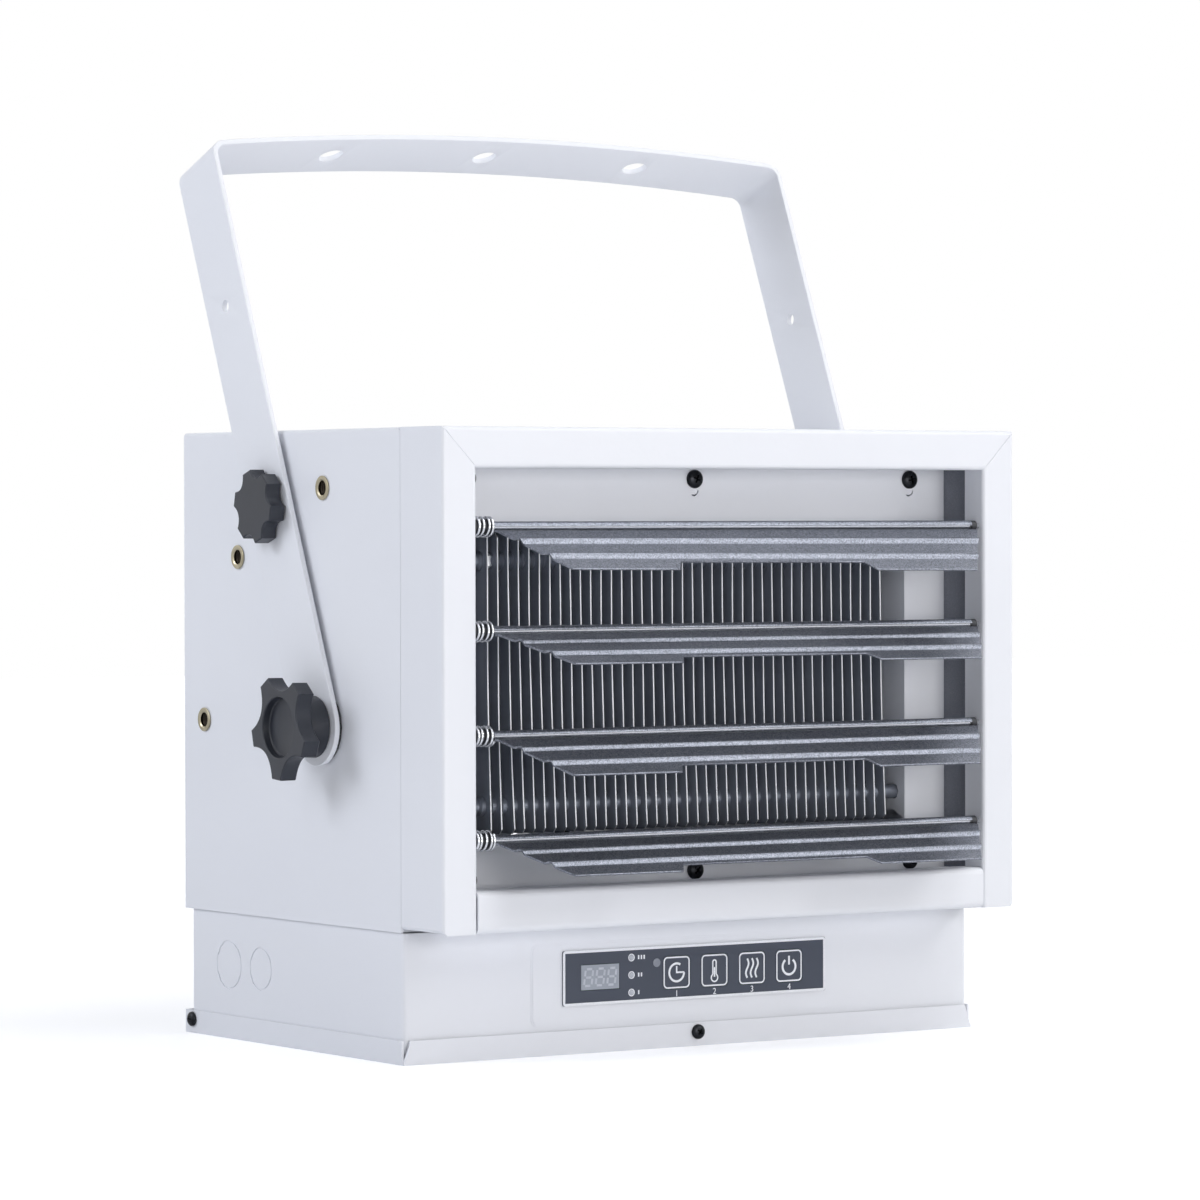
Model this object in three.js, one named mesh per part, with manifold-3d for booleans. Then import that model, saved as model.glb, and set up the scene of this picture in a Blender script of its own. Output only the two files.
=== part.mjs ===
// Ceiling mounted fan heater: a folded steel cabinet with a finned element behind four tilting
// louvres, a control box below it, and a flat steel bracket that swings on two clamp knobs.
// Millimetres, +Z up, front towards -Y, origin at the centre of the underside of the tray.

import * as THREE from 'three';
import { mergeVertices } from 'three/addons/utils/BufferGeometryUtils.js';
import Module from 'manifold-3d';

const wasm = await Module();
wasm.setup();

// ---------------------------------------------------------------- driving dimensions

const cabinetWidth = 370;
const cabinetTop = 330;         // top of the cabinet above the underside of the tray
const baseHeight = 68.5;        // height of the control box and tray under the cabinet
const cabinetDepth = 225.5;     // from the bezel seam to the rear edge
const bezelDepth = 41;
const sheet = 1.2;              // folded steel sheet
const seat = 0.3;               // gap between pieces that seat on each other

const bezelSideFace = 20.9;
const bezelTopFace = 21.4;
const bezelBottomFace = 22.1;
const bezelReturn = 16.5;       // depth of the flange that turns back inside the bezel
const cornerRadius = 2.2;
const bottomRailRadius = 3;
const seamWidth = 0.4;
const seamDepth = 0.35;

const baffleStep = 4.4;         // the baffle's wall stands this far outside the bezel opening
const baffleWall = 24;          // depth of the baffle's forward walls
const windowSideMargin = 23.1;  // from the bezel opening to the window that shows the fins
const windowTop = 275.8;
const windowBottom = 116.6;
const windowReturn = 36;        // depth of the window's side cheeks, which carry the elements

const finPitch = 6.77;
const finThickness = 0.8;
const finDepth = 34;
const finChamfer = 2.5;
const finSetback = 2;           // front of the fins behind the face of the baffle
const finSideMargin = 9;
const tubeRadius = 4;
const terminalReach = 5;        // terminal pin beyond each end of an element
const tubeCount = 2;
const tubeEndMargin = 14.7;     // outer tubes from the ends of the fins
const tubeSetback = 8.5;
const tubeOverhang = 18;
const tubeClearance = 0.6;

const louvreCount = 4;
const louvrePitch = 53.8;
const louvreTopDrop = 51.6;     // first louvre axis below the top of the cabinet
const louvreAxisSetback = 5.5;  // louvre axis behind the face of the bezel
const louvreChord = 43.3;
const louvreEndCut = 27;
const louvreEndGap = 1.8;       // from the right end of a louvre to the bezel's flange
const louvreThickness = 1.2;
const louvreTilts = [57.6, 66.7, 62.2, 65.6];   // degrees forward of hanging straight down
const barrelRadius = 2.75;
const beadPlaces = [15.4, 30.2];
const beadWidth = 5.6;
const beadHeight = 1.9;
const notchHalfWidth = 59.5;
const notchDepth = 7.6;
const notchCut = 5.2;
const pinRadius = 1.5;
const pinClearance = 0.35;
const springLength = 11.5;
const springRadius = 4.9;
const springWire = 0.65;
const springTurns = 4;

const pivotY = -34.5;
const pivotHeight = 173;
const indexRadius = 126;        // circle of threaded inserts round the pivot
const indexAngles = [0, 22.5, 45, 90];
const bracketTilt = 22.5;       // lean of the bracket towards the rear, in degrees
const strapWidth = 41;
const strapThickness = 3;
const strapGap = 2.3;           // from the cabinet wall to the inside of the strap
const strapBend = 9;
const crownHeight = 343;        // outside of the crown above the pivot, at its middle
const crownRadius = 1850;
const crownFacets = 11;
const crownHoleRadius = 7;
const crownHolePitch = 102;
const armHoleHeight = 243.5;
const armHoleRadius = 3.4;

const insertFlangeRadius = 6.5;
const insertFlange = 0.8;
const insertBarrelRadius = 5.2;
const insertBoreRadius = 3.9;
const insertLength = 12;
const insertPlay = 0.3;         // round the insert's barrel in its hole
const spacerRadius = 19;
const studClearance = 0.4;

const clampKnobRadius = 28.4;
const clampKnobWaist = 20;
const clampKnobTip = 8.8;       // width of each lobe at its tip
const clampKnobLobes = 5;
const clampKnobPhase = 32;      // first lobe behind the vertical, in degrees
const clampStarDepth = 10;
const clampCollarRadius = 16.4;
const clampCollarDepth = 12.5;
const clampRecessRadius = 16.2;
const clampRecessDepth = 3.6;
const clampStudRadius = insertBoreRadius - studClearance;
const lockKnobRadius = 19.5;
const lockKnobWaist = 15.6;
const lockKnobTip = 9;
const lockKnobLobes = 6;
const lockKnobPhase = 20;
const lockKnobDepth = 9.4;
const lockBossRadius = 8;
const lockBossDepth = 1.4;
const lockStudRadius = 2.7;
const knobDraft = 0.8;          // draft and edge bevel of the moulded knobs

const trayDepth = 228;
const trayLip = 12.7;
const trayScrewZ = trayLip - 5;
const boxSideInset = 1.5;       // control box inside the width of the cabinet
const boxRearInset = 4.5;
const boxCorner = 2.5;
const padWidth = 210;
const padHeight = 43.6;
const padRaise = 0.5;
const padDrop = 3;              // middle of the pad below the middle of the panel
const padCorner = 4;
const panelHeight = 40;         // middle of the control panel above the underside of the tray
const overlayWidth = 171.3;
const overlayHeight = 29.2;
const overlayThickness = 0.6;
const keySize = 17.4;
const keyPitch = 24.7;
const firstKeyX = -12.8;
const keyCorner = 2;
const keyThickness = 1.4;
const keyTravel = 0.4;
const keyNames = ['key_timer', 'key_temperature', 'key_mode', 'key_power'];
const displayWidth = 24.2;
const displayHeight = 13.2;
const displayX = -62;
const boardThickness = 1.6;
const boardStandoff = 6.2;      // board behind the front wall of the control box
const standoffRadius = 2.5;
const standoffInset = 4;
const switchHalf = 3;           // half the side of a switch body under a key
const stemRadius = 1.7;
const stemLength = 1.5;
const knockouts = [{ fromRear: 45.5, radius: 13.5 }, { fromRear: 79.5, radius: 11.8 }];
const knockoutHeight = 40;
const knockoutGroove = 0.9;
const knockoutGrooveDepth = 0.5;
const knockoutTab = 40;         // angle of each shallow part of the groove, in degrees
const knockoutTabDepth = 0.25;

const fanHeight = 198;
const fanRadius = 90;
const fanHubRadius = 22;
const fanHubLength = 22;
const fanBlades = 5;
const bladeRootChord = 34;
const bladeTipChord = 60;
const bladeRootPitch = 24;      // degrees out of the plane of the fan
const bladeTipPitch = 13;
const bladeCamber = 3.2;
const bladeThickness = 1.6;
const bladeRake = 6;            // how far the corners of the tip fall inside its circle
const fanY = 30;                // middle of the fan hub
const hubToMotor = 9;
const shaftRadius = 4;
const shaftClearance = 0.4;
const shaftSeat = 10;           // length of the shaft inside the motor
const motorRadius = 40;
const motorLength = 42;
const shroudClearance = 7;      // from the blade tips to the shroud ring
const shroudDepth = 16;
const intakeRadius = 102;
const intakeRing = 10;
const guardWire = 1.2;
const guardRings = 4;
const guardSpokes = 4;
const motorStrapWidth = 30;
const motorLegSlope = 6;
const motorFoot = 14;
const shroudFold = 12;
const shroudSetback = 4;        // shroud plate in front of the middle of the fan

const cutoutX = 60;
const cutoutDrop = 22;          // thermal cutout below the top of the cabinet
const cutoutRadius = 8;
const cutoutDepth = 9;
const cutoutEar = 14;
const tabThickness = 1;
const tabLength = 6;

const terminalBox = { x: 130, y: 72, width: 60, depth: 24, height: 16 };
const terminalWays = 4;
const relayBox = { x: -70, y: 27.5, width: 40, depth: 35, height: 34 };
const relayFoot = { overhang: 8, depth: 15, height: 3 };
const relayTabs = 3;
const cableSlotX = 130;
const cableSlotSize = 40;
const cableSlotSetback = 30;    // middle of the slot in front of the shroud

const trayScrewHead = 4;
const trayScrewLength = 7;
const trussScrewHead = 5;
const trussScrewLength = 9;
const screwShank = 1.7;
const screwHole = 2.1;
const screwTab = 8;             // edge of a flange beyond the middle of a screw

// ---------------------------------------------------------------- planes that pieces share

const half = cabinetWidth / 2;
const innerHalf = half - sheet;
const seamY = trayDepth / 2 - cabinetDepth;
const rearY = trayDepth / 2;
const bezelFrontY = seamY - bezelDepth;
const bezelBottom = baseHeight + 0.9;
const openingHalf = half - bezelSideFace;
const openingTop = cabinetTop - bezelTopFace;
const openingBottom = bezelBottom + bezelBottomFace;
const windowHalf = openingHalf - windowSideMargin;
const flangeY = seamY + sheet + seat;          // front of the flanges behind the baffle
const screwSpread = openingHalf - 20;
const topScrewZ = openingTop - 5;
const cheekInset = 5;           // cheeks of the window below its top and above its bottom
const bottomScrewZ = openingBottom + 2.7;
const finFrontY = seamY + finSetback;
const louvreAxisY = bezelFrontY + louvreAxisSetback;
const strapInner = half + strapGap;
const strapOuter = strapInner + strapThickness;
const boxHalf = half - boxSideInset;
const boxTop = baseHeight - seat;
const boxRearY = rearY - boxRearInset;
const boxFloor = sheet + seat;
const trayFrontY = -trayDepth / 2;
const padFaceY = seamY - padRaise;
const lastKeyX = firstKeyX + keyPitch * (keyNames.length - 1);
const sideScrewY = rearY - 8;
const screwPlaces = [-screwSpread, 0, screwSpread];
const cut = 1;                  // how far a cutting solid runs past the face it cuts
const floorTop = baseHeight + seat + sheet;
const shroudY = fanY - shroudSetback;
const deg = Math.PI / 180;

// ---------------------------------------------------------------- finishes

function finish(color, roughness, metalness) {
  return new THREE.MeshStandardMaterial({ color, roughness, metalness });
}

const whitePaint = finish(0xe3e6ee, 0.5, 0.1);
const darkPaint = finish(0x4f535c, 0.4, 0.5);
const finSteel = finish(0x30343c, 0.5, 0.6);
const brightSteel = finish(0xc9ccd0, 0.25, 1);
const zincSteel = finish(0xc2a46a, 0.35, 1);
const blackSteel = finish(0x1c1d20, 0.45, 0.6);
const blackPlastic = finish(0x2e3138, 0.55, 0);
const panelFilm = finish(0x5a606c, 0.35, 0);
const displayGlass = finish(0xa7adb6, 0.3, 0);
const boardGreen = finish(0x2f6b43, 0.5, 0);
const creamPlastic = finish(0xe8e2d2, 0.5, 0);
const motorGrey = finish(0x8d9096, 0.45, 0.7);

// ---------------------------------------------------------------- solids from geometry

// A closed geometry becomes a solid whose faces point outwards.
function solidFrom(geometry) {
  const bare = geometry.clone();
  bare.deleteAttribute('normal');
  bare.deleteAttribute('uv');
  const merged = mergeVertices(bare, 1e-4);
  const place = merged.attributes.position;
  const corners = Uint32Array.from(merged.index.array);
  let volume = 0;
  for (let i = 0; i < corners.length; i += 3) {
    const [a, b, c] = [0, 1, 2].map((k) => new THREE.Vector3().fromBufferAttribute(place, corners[i + k]));
    volume += a.dot(b.cross(c));
  }
  if (volume < 0) corners.reverse();
  return new wasm.Manifold(new wasm.Mesh({
    numProp: 3,
    vertProperties: Float32Array.from(place.array),
    triVerts: corners,
  }));
}

function geometryFrom(solid) {
  const { vertProperties, triVerts } = solid.getMesh();
  const geometry = new THREE.BufferGeometry();
  geometry.setAttribute('position', new THREE.BufferAttribute(vertProperties, 3));
  geometry.setIndex(new THREE.BufferAttribute(triVerts, 1));
  geometry.computeVertexNormals();
  return geometry;
}

function block(x0, x1, y0, y1, z0, z1) {
  const geometry = new THREE.BoxGeometry(x1 - x0, y1 - y0, z1 - z0);
  return solidFrom(geometry.translate((x0 + x1) / 2, (y0 + y1) / 2, (z0 + z1) / 2));
}

function extruded(shape, depth, curveSegments) {
  return new THREE.ExtrudeGeometry(shape, { depth, curveSegments, bevelEnabled: false });
}

// A shape drawn in (x, z) and swept along Y, in (y, z) along X, or in (x, y) along Z.
function sweptY(shape, y0, y1, curveSegments = 2) {
  return solidFrom(extruded(shape, y1 - y0, curveSegments).rotateX(Math.PI / 2).translate(0, y1, 0));
}

function sweptX(shape, x0, x1, curveSegments = 2) {
  const turn = new THREE.Matrix4().set(0, 0, 1, 0, 1, 0, 0, 0, 0, 1, 0, 0, 0, 0, 0, 1);
  return solidFrom(extruded(shape, x1 - x0, curveSegments).applyMatrix4(turn).translate(x0, 0, 0));
}

function sweptZ(shape, z0, z1, curveSegments = 2) {
  return solidFrom(extruded(shape, z1 - z0, curveSegments).translate(0, 0, z0));
}

function outline(points) {
  return new THREE.Shape(points.map(([a, b]) => new THREE.Vector2(a, b)));
}

// Points of an arc about (a, b), both ends included, with its angles in degrees.
function arcPoints(a, b, radius, from, to, facets) {
  return Array.from({ length: facets + 1 }, (_, k) => {
    const angle = (from + ((to - from) * k) / facets) * deg;
    return [a + radius * Math.cos(angle), b + radius * Math.sin(angle)];
  });
}

const ring = (radius, facets) => arcPoints(0, 0, radius, 0, 360 - 360 / facets, facets - 1);

// The outline of a folded sheet: its mid-line with half the thickness on each side, mitred.
function foldedSheet(midline, thickness) {
  const side = (sign) => midline.map(([a, b], i) => {
    const before = midline[Math.max(i - 1, 0)];
    const after = midline[Math.min(i + 1, midline.length - 1)];
    const inward = new THREE.Vector2(a - before[0], b - before[1]);
    const outward = new THREE.Vector2(after[0] - a, after[1] - b);
    if (i === 0) inward.copy(outward);
    if (i === midline.length - 1) outward.copy(inward);
    inward.normalize();
    outward.normalize();
    const mitre = inward.clone().add(outward).normalize();
    const reach = (sign * thickness) / 2 / mitre.dot(inward);
    return [a - mitre.y * reach, b + mitre.x * reach];
  });
  return outline([...side(1), ...side(-1).reverse()]);
}

// A round bar along X, Y or Z between two planes.
function rodX(radius, x0, x1, y, z, sides = 16) {
  const geometry = new THREE.CylinderGeometry(radius, radius, x1 - x0, sides);
  return solidFrom(geometry.rotateZ(-Math.PI / 2).translate((x0 + x1) / 2, y, z));
}

function rodY(radius, y0, y1, x, z, sides = 16) {
  const geometry = new THREE.CylinderGeometry(radius, radius, y1 - y0, sides);
  return solidFrom(geometry.translate(x, (y0 + y1) / 2, z));
}

// A turned piece: [radius, height] pairs about +Y.
function turned(profile, sides) {
  return new THREE.LatheGeometry(profile.map(([r, y]) => new THREE.Vector2(r, y)), sides);
}

function roundedBox(halfA, lowB, highB, radius) {
  const shape = new THREE.Shape();
  shape.moveTo(-halfA + radius, lowB);
  shape.lineTo(halfA - radius, lowB);
  shape.absarc(halfA - radius, lowB + radius, radius, -Math.PI / 2, 0, false);
  shape.lineTo(halfA, highB - radius);
  shape.absarc(halfA - radius, highB - radius, radius, 0, Math.PI / 2, false);
  shape.lineTo(-halfA + radius, highB);
  shape.absarc(-halfA + radius, highB - radius, radius, Math.PI / 2, Math.PI, false);
  shape.lineTo(-halfA, lowB + radius);
  shape.absarc(-halfA + radius, lowB + radius, radius, Math.PI, Math.PI * 1.5, false);
  return shape;
}

const heater = new THREE.Group();

function place(name, form, material, parent = heater) {
  const geometry = form.isBufferGeometry ? form : geometryFrom(form);
  const mesh = new THREE.Mesh(geometry, material);
  mesh.name = name;
  parent.add(mesh);
  return mesh;
}

// ---------------------------------------------------------------- cabinet

// Places of the threaded inserts on each side wall: one on the pivot, the others on the circle.
const insertPlaces = [{ tag: 'pivot', y: pivotY, z: pivotHeight }];
for (const angle of indexAngles) {
  insertPlaces.push({
    tag: `index_${Math.floor(angle)}`,
    y: pivotY + indexRadius * Math.sin(angle * deg),
    z: pivotHeight + indexRadius * Math.cos(angle * deg),
  });
}

function cabinetWrap(outerHalf, top, radius) {
  const shape = new THREE.Shape();
  shape.moveTo(outerHalf, baseHeight);
  shape.lineTo(outerHalf, top - radius);
  shape.absarc(outerHalf - radius, top - radius, radius, 0, Math.PI / 2, false);
  shape.lineTo(-outerHalf + radius, top);
  shape.absarc(-outerHalf + radius, top - radius, radius, Math.PI / 2, Math.PI, false);
  shape.lineTo(-outerHalf, baseHeight);
  return shape;
}

// A hole for a screw along Y through a thin plate that starts at the given plane.
function screwHoleY(x, y, z) {
  return rodY(screwHole, y - cut, y + sheet + cut, x, z, 8);
}

function cabinetShell() {
  const wrap = cabinetWrap(half, cabinetTop, cornerRadius);
  const cavity = cabinetWrap(innerHalf, cabinetTop - sheet, cornerRadius - sheet);
  let shell = sweptY(wrap, seamY, rearY).subtract(sweptY(cavity, seamY - cut, rearY + cut));
  // Flanges turned in at the front, which the baffle screws onto.
  const root = sheet / 2;
  shell = shell.add(block(-innerHalf - root, innerHalf + root, flangeY, flangeY + sheet,
    topScrewZ - screwTab, cabinetTop - root));
  for (const side of [-1, 1]) {
    const inner = side * (windowHalf + screwTab);
    const outer = side * (innerHalf + root);
    shell = shell.add(block(Math.min(inner, outer), Math.max(inner, outer),
      flangeY, flangeY + sheet, bottomScrewZ + 2 * screwTab, topScrewZ));
    for (const { y, z } of insertPlaces) {
      shell = shell.subtract(rodX(insertBarrelRadius + insertPlay,
        side * half - 5, side * half + 5, y, z, 10));
    }
    // Bend relief where the side, the top and the seam meet.
    shell = shell.subtract(rodY(1.1, seamY - cut, seamY + 1.4, side * (half - 0.4), cabinetTop - 0.6, 8));
  }
  for (const x of screwPlaces) shell = shell.subtract(screwHoleY(x, flangeY, topScrewZ));
  return shell;
}

// Back panel with the drawn ring that guides the air into the fan.
function rearPanel() {
  const face = rearY - seat;
  const plate = block(-innerHalf + seat, innerHalf - seat, face - sheet, face,
    floorTop + seat, cabinetTop - sheet - seat);
  const drawn = rodY(intakeRadius + sheet, face - intakeRing, face, 0, fanHeight, 32);
  const hole = rodY(intakeRadius, face - intakeRing - cut, face + cut, 0, fanHeight, 32);
  return plate.add(drawn).subtract(hole);
}

// Welded wire guard over the air intake: rings on radial spokes that reach the panel.
function rearGuard() {
  const wireY = rearY + guardWire;
  const centreRadius = 16;
  const rimRadius = intakeRadius + 4;
  let guard = rodY(centreRadius, wireY - guardWire, wireY + guardWire, 0, fanHeight, 12);
  for (let i = 1; i <= guardRings; i += 1) {
    const radius = centreRadius + ((rimRadius - centreRadius) * i) / guardRings;
    const hoop = new THREE.TorusGeometry(radius, guardWire, 4, 16).rotateX(Math.PI / 2);
    guard = guard.add(solidFrom(hoop.translate(0, wireY, fanHeight)));
  }
  const spokeLength = rimRadius - centreRadius + 3;
  for (let i = 0; i < guardSpokes; i += 1) {
    const spoke = new THREE.BoxGeometry(guardWire * 1.6, guardWire * 1.6, spokeLength)
      .translate(0, 0, centreRadius + spokeLength / 2 - 1)
      .rotateY(((i + 0.5) * 2 * Math.PI) / guardSpokes);
    guard = guard.add(solidFrom(spoke.translate(0, wireY, fanHeight)));
  }
  return guard;
}

// Floor between the heating chamber and the control box, with a lip for the lower baffle screws.
function dividerFloor() {
  const reach = innerHalf - seat;
  const floor = block(-reach, reach, flangeY, rearY - sheet - 2 * seat, floorTop - sheet, floorTop);
  let lip = block(-reach, reach, flangeY, flangeY + sheet, floorTop - sheet, bottomScrewZ + screwTab - 1);
  for (const x of screwPlaces) lip = lip.subtract(screwHoleY(x, flangeY, bottomScrewZ));
  const slotY = shroudY - cableSlotSetback;
  const slotReach = cableSlotSize / 2;
  const cableSlot = block(cableSlotX - slotReach, cableSlotX + slotReach,
    slotY - slotReach, slotY + slotReach, floorTop - sheet - cut, floorTop + cut);
  return floor.add(lip).subtract(cableSlot);
}

place('cabinet_shell', cabinetShell(), whitePaint);
place('rear_panel', rearPanel(), whitePaint);
place('rear_guard', rearGuard(), blackSteel);
place('divider_floor', dividerFloor(), whitePaint);

// ---------------------------------------------------------------- bezel

// Section of the top rail and stiles: side wall, rounded corner, face, and return flange.
// The first coordinate runs back from the face, the second runs in from the outer edge.
function channelSection(faceWidth, toSection) {
  const r = cornerRadius - sheet / 2;
  const t = sheet / 2;
  const midline = [
    [bezelDepth - seat, t],
    ...arcPoints(t + r, t + r, r, 270, 180, 3),
    ...arcPoints(t + r, faceWidth - t - r, r, 180, 90, 3),
    [bezelReturn, faceWidth - t],
  ];
  return foldedSheet(midline.map(([back, inward]) => toSection(back, inward)), sheet);
}

function bezelSurround() {
  const topRail = sweptX(channelSection(bezelTopFace, (b, i) => [bezelFrontY + b, cabinetTop - i]),
    -half, half);
  const mitreTop = outline([[-half, cabinetTop], [half, cabinetTop],
    [openingHalf, openingTop], [-openingHalf, openingTop]]);
  const keep = sweptY(mitreTop, bezelFrontY - cut, seamY + cut);
  let surround = topRail.intersect(keep);
  for (const side of [-1, 1]) {
    const stile = sweptZ(channelSection(bezelSideFace, (b, i) => [side * (half - i), bezelFrontY + b]),
      bezelBottom, cabinetTop);
    const mitreSide = outline([[side * half, bezelBottom], [side * half, cabinetTop],
      [side * openingHalf, openingTop], [side * openingHalf, bezelBottom]]);
    surround = surround.add(stile.intersect(sweptY(mitreSide, bezelFrontY - cut, seamY + cut)));
    // The mitre shows on the face as a fine seam.
    const run = Math.hypot(bezelSideFace, bezelTopFace);
    const seam = new THREE.BoxGeometry(run, seamDepth * 2, seamWidth)
      .rotateY(side * -Math.atan2(bezelTopFace, bezelSideFace))
      .translate(side * (half - bezelSideFace / 2), bezelFrontY, cabinetTop - bezelTopFace / 2);
    surround = surround.subtract(solidFrom(seam));
    const toeCut = outline([[side * (half + cut), bezelBottom - cut], [side * (half + cut), bezelBottom + 4],
      [side * (half - sheet), bezelBottom + sheet], [side * (half - 4), bezelBottom - cut]]);
    surround = surround.subtract(sweptY(toeCut, bezelFrontY - cut, seamY + cut));
    for (let i = 0; i < louvreCount; i += 1) {
      surround = surround.subtract(rodX(pinRadius + pinClearance,
        side * openingHalf - 3, side * openingHalf + 3, louvreAxisY, louvreAxisZ(i), 8));
    }
  }
  return surround;
}

// Bottom rail, butted between the stiles, with the same rounded folds.
function bezelBottomRail() {
  const t = sheet / 2;
  const r = bottomRailRadius;
  const front = bezelFrontY + t;
  const midline = [
    [seamY - seat, bezelBottom + t],
    ...arcPoints(front + r, bezelBottom + t + r, r, 270, 180, 4),
    ...arcPoints(front + r, openingBottom - t - r, r, 180, 90, 4),
    [bezelFrontY + bezelReturn, openingBottom - t],
  ];
  return sweptX(foldedSheet(midline, sheet), -openingHalf + seat, openingHalf - seat);
}

function louvreAxisZ(index) {
  return cabinetTop - louvreTopDrop - index * louvrePitch;
}

place('bezel_surround', bezelSurround(), whitePaint);
place('bezel_bottom_rail', bezelBottomRail(), whitePaint);

// ---------------------------------------------------------------- baffle and heating element

const tubeY = finFrontY + tubeSetback;
const finTop = windowTop - 0.6;
const finBottom = windowBottom + 0.6;
const tubeHeights = Array.from({ length: tubeCount }, (_, i) => (
  finTop - tubeEndMargin - ((finTop - finBottom - 2 * tubeEndMargin) * i) / (tubeCount - 1)));

// Shallow white tray round the window: face plate, forward walls, and cheeks that turn back.
function frontBaffle() {
  const wallHalf = openingHalf + baffleStep;
  const wallTop = openingTop + baffleStep;
  const wallBottom = openingBottom - baffleStep;
  const outer = block(-wallHalf - sheet, wallHalf + sheet, seamY - baffleWall, seamY + sheet,
    wallBottom - sheet, wallTop + sheet);
  const hollow = block(-wallHalf, wallHalf, seamY - baffleWall - cut, seamY, wallBottom, wallTop);
  const window = block(-windowHalf, windowHalf, seamY - cut, seamY + sheet + cut, windowBottom, windowTop);
  let baffle = outer.subtract(hollow).subtract(window);
  for (const side of [-1, 1]) {
    const cheek = outline([
      [seamY, windowBottom], [seamY + 2 * cheekInset, windowBottom + cheekInset],
      [seamY + windowReturn, windowBottom + cheekInset], [seamY + windowReturn, windowTop - cheekInset],
      [seamY + 2 * cheekInset, windowTop - cheekInset], [seamY, windowTop],
    ]);
    const inner = side * windowHalf;
    const outerFace = side * (windowHalf + sheet);
    let plate = sweptX(cheek, Math.min(inner, outerFace), Math.max(inner, outerFace));
    for (const z of tubeHeights) {
      plate = plate.subtract(rodX(tubeRadius + tubeClearance, side * windowHalf - 3,
        side * windowHalf + 3, tubeY, z, 8));
    }
    baffle = baffle.add(plate);
  }
  for (const x of screwPlaces) {
    baffle = baffle.subtract(screwHoleY(x, seamY, topScrewZ));
    baffle = baffle.subtract(screwHoleY(x, seamY, bottomScrewZ));
    baffle = baffle.subtract(hookSlot(x, topScrewZ));
  }
  return baffle;
}

// The hook-shaped slot under each upper screw, part of the punched screw tab.
function hookSlot(x, z) {
  const width = 0.8;
  const radius = 2.6;
  const centre = z - screwHole - radius - 1.5;
  const slot = new THREE.Shape();
  slot.absarc(x, centre, radius + width / 2, 0.1, -Math.PI * 0.7, true);
  slot.absarc(x, centre, radius - width / 2, -Math.PI * 0.7, 0.1, false);
  return sweptY(slot, seamY - cut, seamY + sheet + cut, 3);
}

// Pressed fins brazed on straight sheathed elements, each with a terminal at both ends.
function heaterCore() {
  const span = 2 * (windowHalf - finSideMargin);
  const count = Math.round(span / finPitch) + 1;
  const c = finChamfer;
  const rear = finFrontY + finDepth;
  const fin = outline([
    [finFrontY + c, finBottom], [rear, finBottom], [rear, finTop],
    [finFrontY + c, finTop], [finFrontY, finTop - c], [finFrontY, finBottom + c],
  ]);
  const fins = [];
  for (let i = 0; i < count; i += 1) {
    const x = -span / 2 + (span * i) / (count - 1);
    fins.push(sweptX(fin, x - finThickness / 2, x + finThickness / 2));
  }
  const reach = windowHalf + tubeOverhang;
  const pin = reach + terminalReach;
  const tubes = tubeHeights.map((z) => rodX(tubeRadius, -reach, reach, tubeY, z, 6)
    .add(rodX(tubeRadius / 2, -pin, pin, tubeY, z, 5)));
  return wasm.Manifold.union([...fins, ...tubes]);
}

place('front_baffle', frontBaffle(), whitePaint);
place('heater_core', heaterCore(), finSteel);

// ---------------------------------------------------------------- louvres and their springs

const barrelRight = openingHalf - louvreEndGap;
const barrelLeft = -openingHalf + springLength + 2 * seat;
const louvreMiddle = (barrelLeft + barrelRight) / 2;
const louvreHalf = (barrelRight - barrelLeft) / 2;

// A blade with two stiffening beads, rolled into a barrel round its hinge pin. It is made
// hanging straight down from its axis, and tilted by its own group.
function louvreBlade() {
  const bead = (at) => [
    [0, -at + beadWidth / 2], [-beadHeight * 0.75, -at + beadWidth * 0.2],
    [-beadHeight, -at - beadWidth * 0.1], [-beadHeight * 0.8, -at - beadWidth * 0.3],
    [0, -at - beadWidth / 2],
  ];
  const midline = [[0, -barrelRadius / 2], ...beadPlaces.flatMap(bead), [0, -louvreChord]];
  const blade = sweptX(foldedSheet(midline, louvreThickness), -louvreHalf, louvreHalf);
  const plan = outline([
    [-louvreHalf - 1, barrelRadius + 1], [louvreHalf + 1, barrelRadius + 1],
    [louvreHalf, -barrelRadius], [louvreHalf - louvreEndCut, -louvreChord - 1],
    [notchHalfWidth + notchCut, -louvreChord - 1], [notchHalfWidth, -louvreChord + notchDepth],
    [-notchHalfWidth, -louvreChord + notchDepth], [-notchHalfWidth - notchCut, -louvreChord - 1],
    [-louvreHalf + louvreEndCut, -louvreChord - 1], [-louvreHalf, -barrelRadius],
  ]);
  const barrel = rodX(barrelRadius, -louvreHalf, louvreHalf, 0, 0, 12);
  const pinReach = openingHalf + sheet + 1.5;
  const pin = rodX(pinRadius, -pinReach - louvreMiddle, pinReach - louvreMiddle, 0, 0, 8);
  return blade.intersect(sweptY(plan, -20, 20)).add(barrel).add(pin);
}

class Helix extends THREE.Curve {
  getPoint(t, target = new THREE.Vector3()) {
    const angle = t * springTurns * 2 * Math.PI;
    const run = springLength - 2 * springWire;
    return target.set(springWire + t * run, springRadius * Math.sin(angle), springRadius * Math.cos(angle));
  }
}

// The compression spring on the left pin, which holds the blade where it is set.
function pinSpring() {
  const wire = outline(ring(springWire, 4));
  const steps = springTurns * 10;
  return solidFrom(new THREE.ExtrudeGeometry(wire, { steps, extrudePath: new Helix(), bevelEnabled: false }));
}

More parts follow.
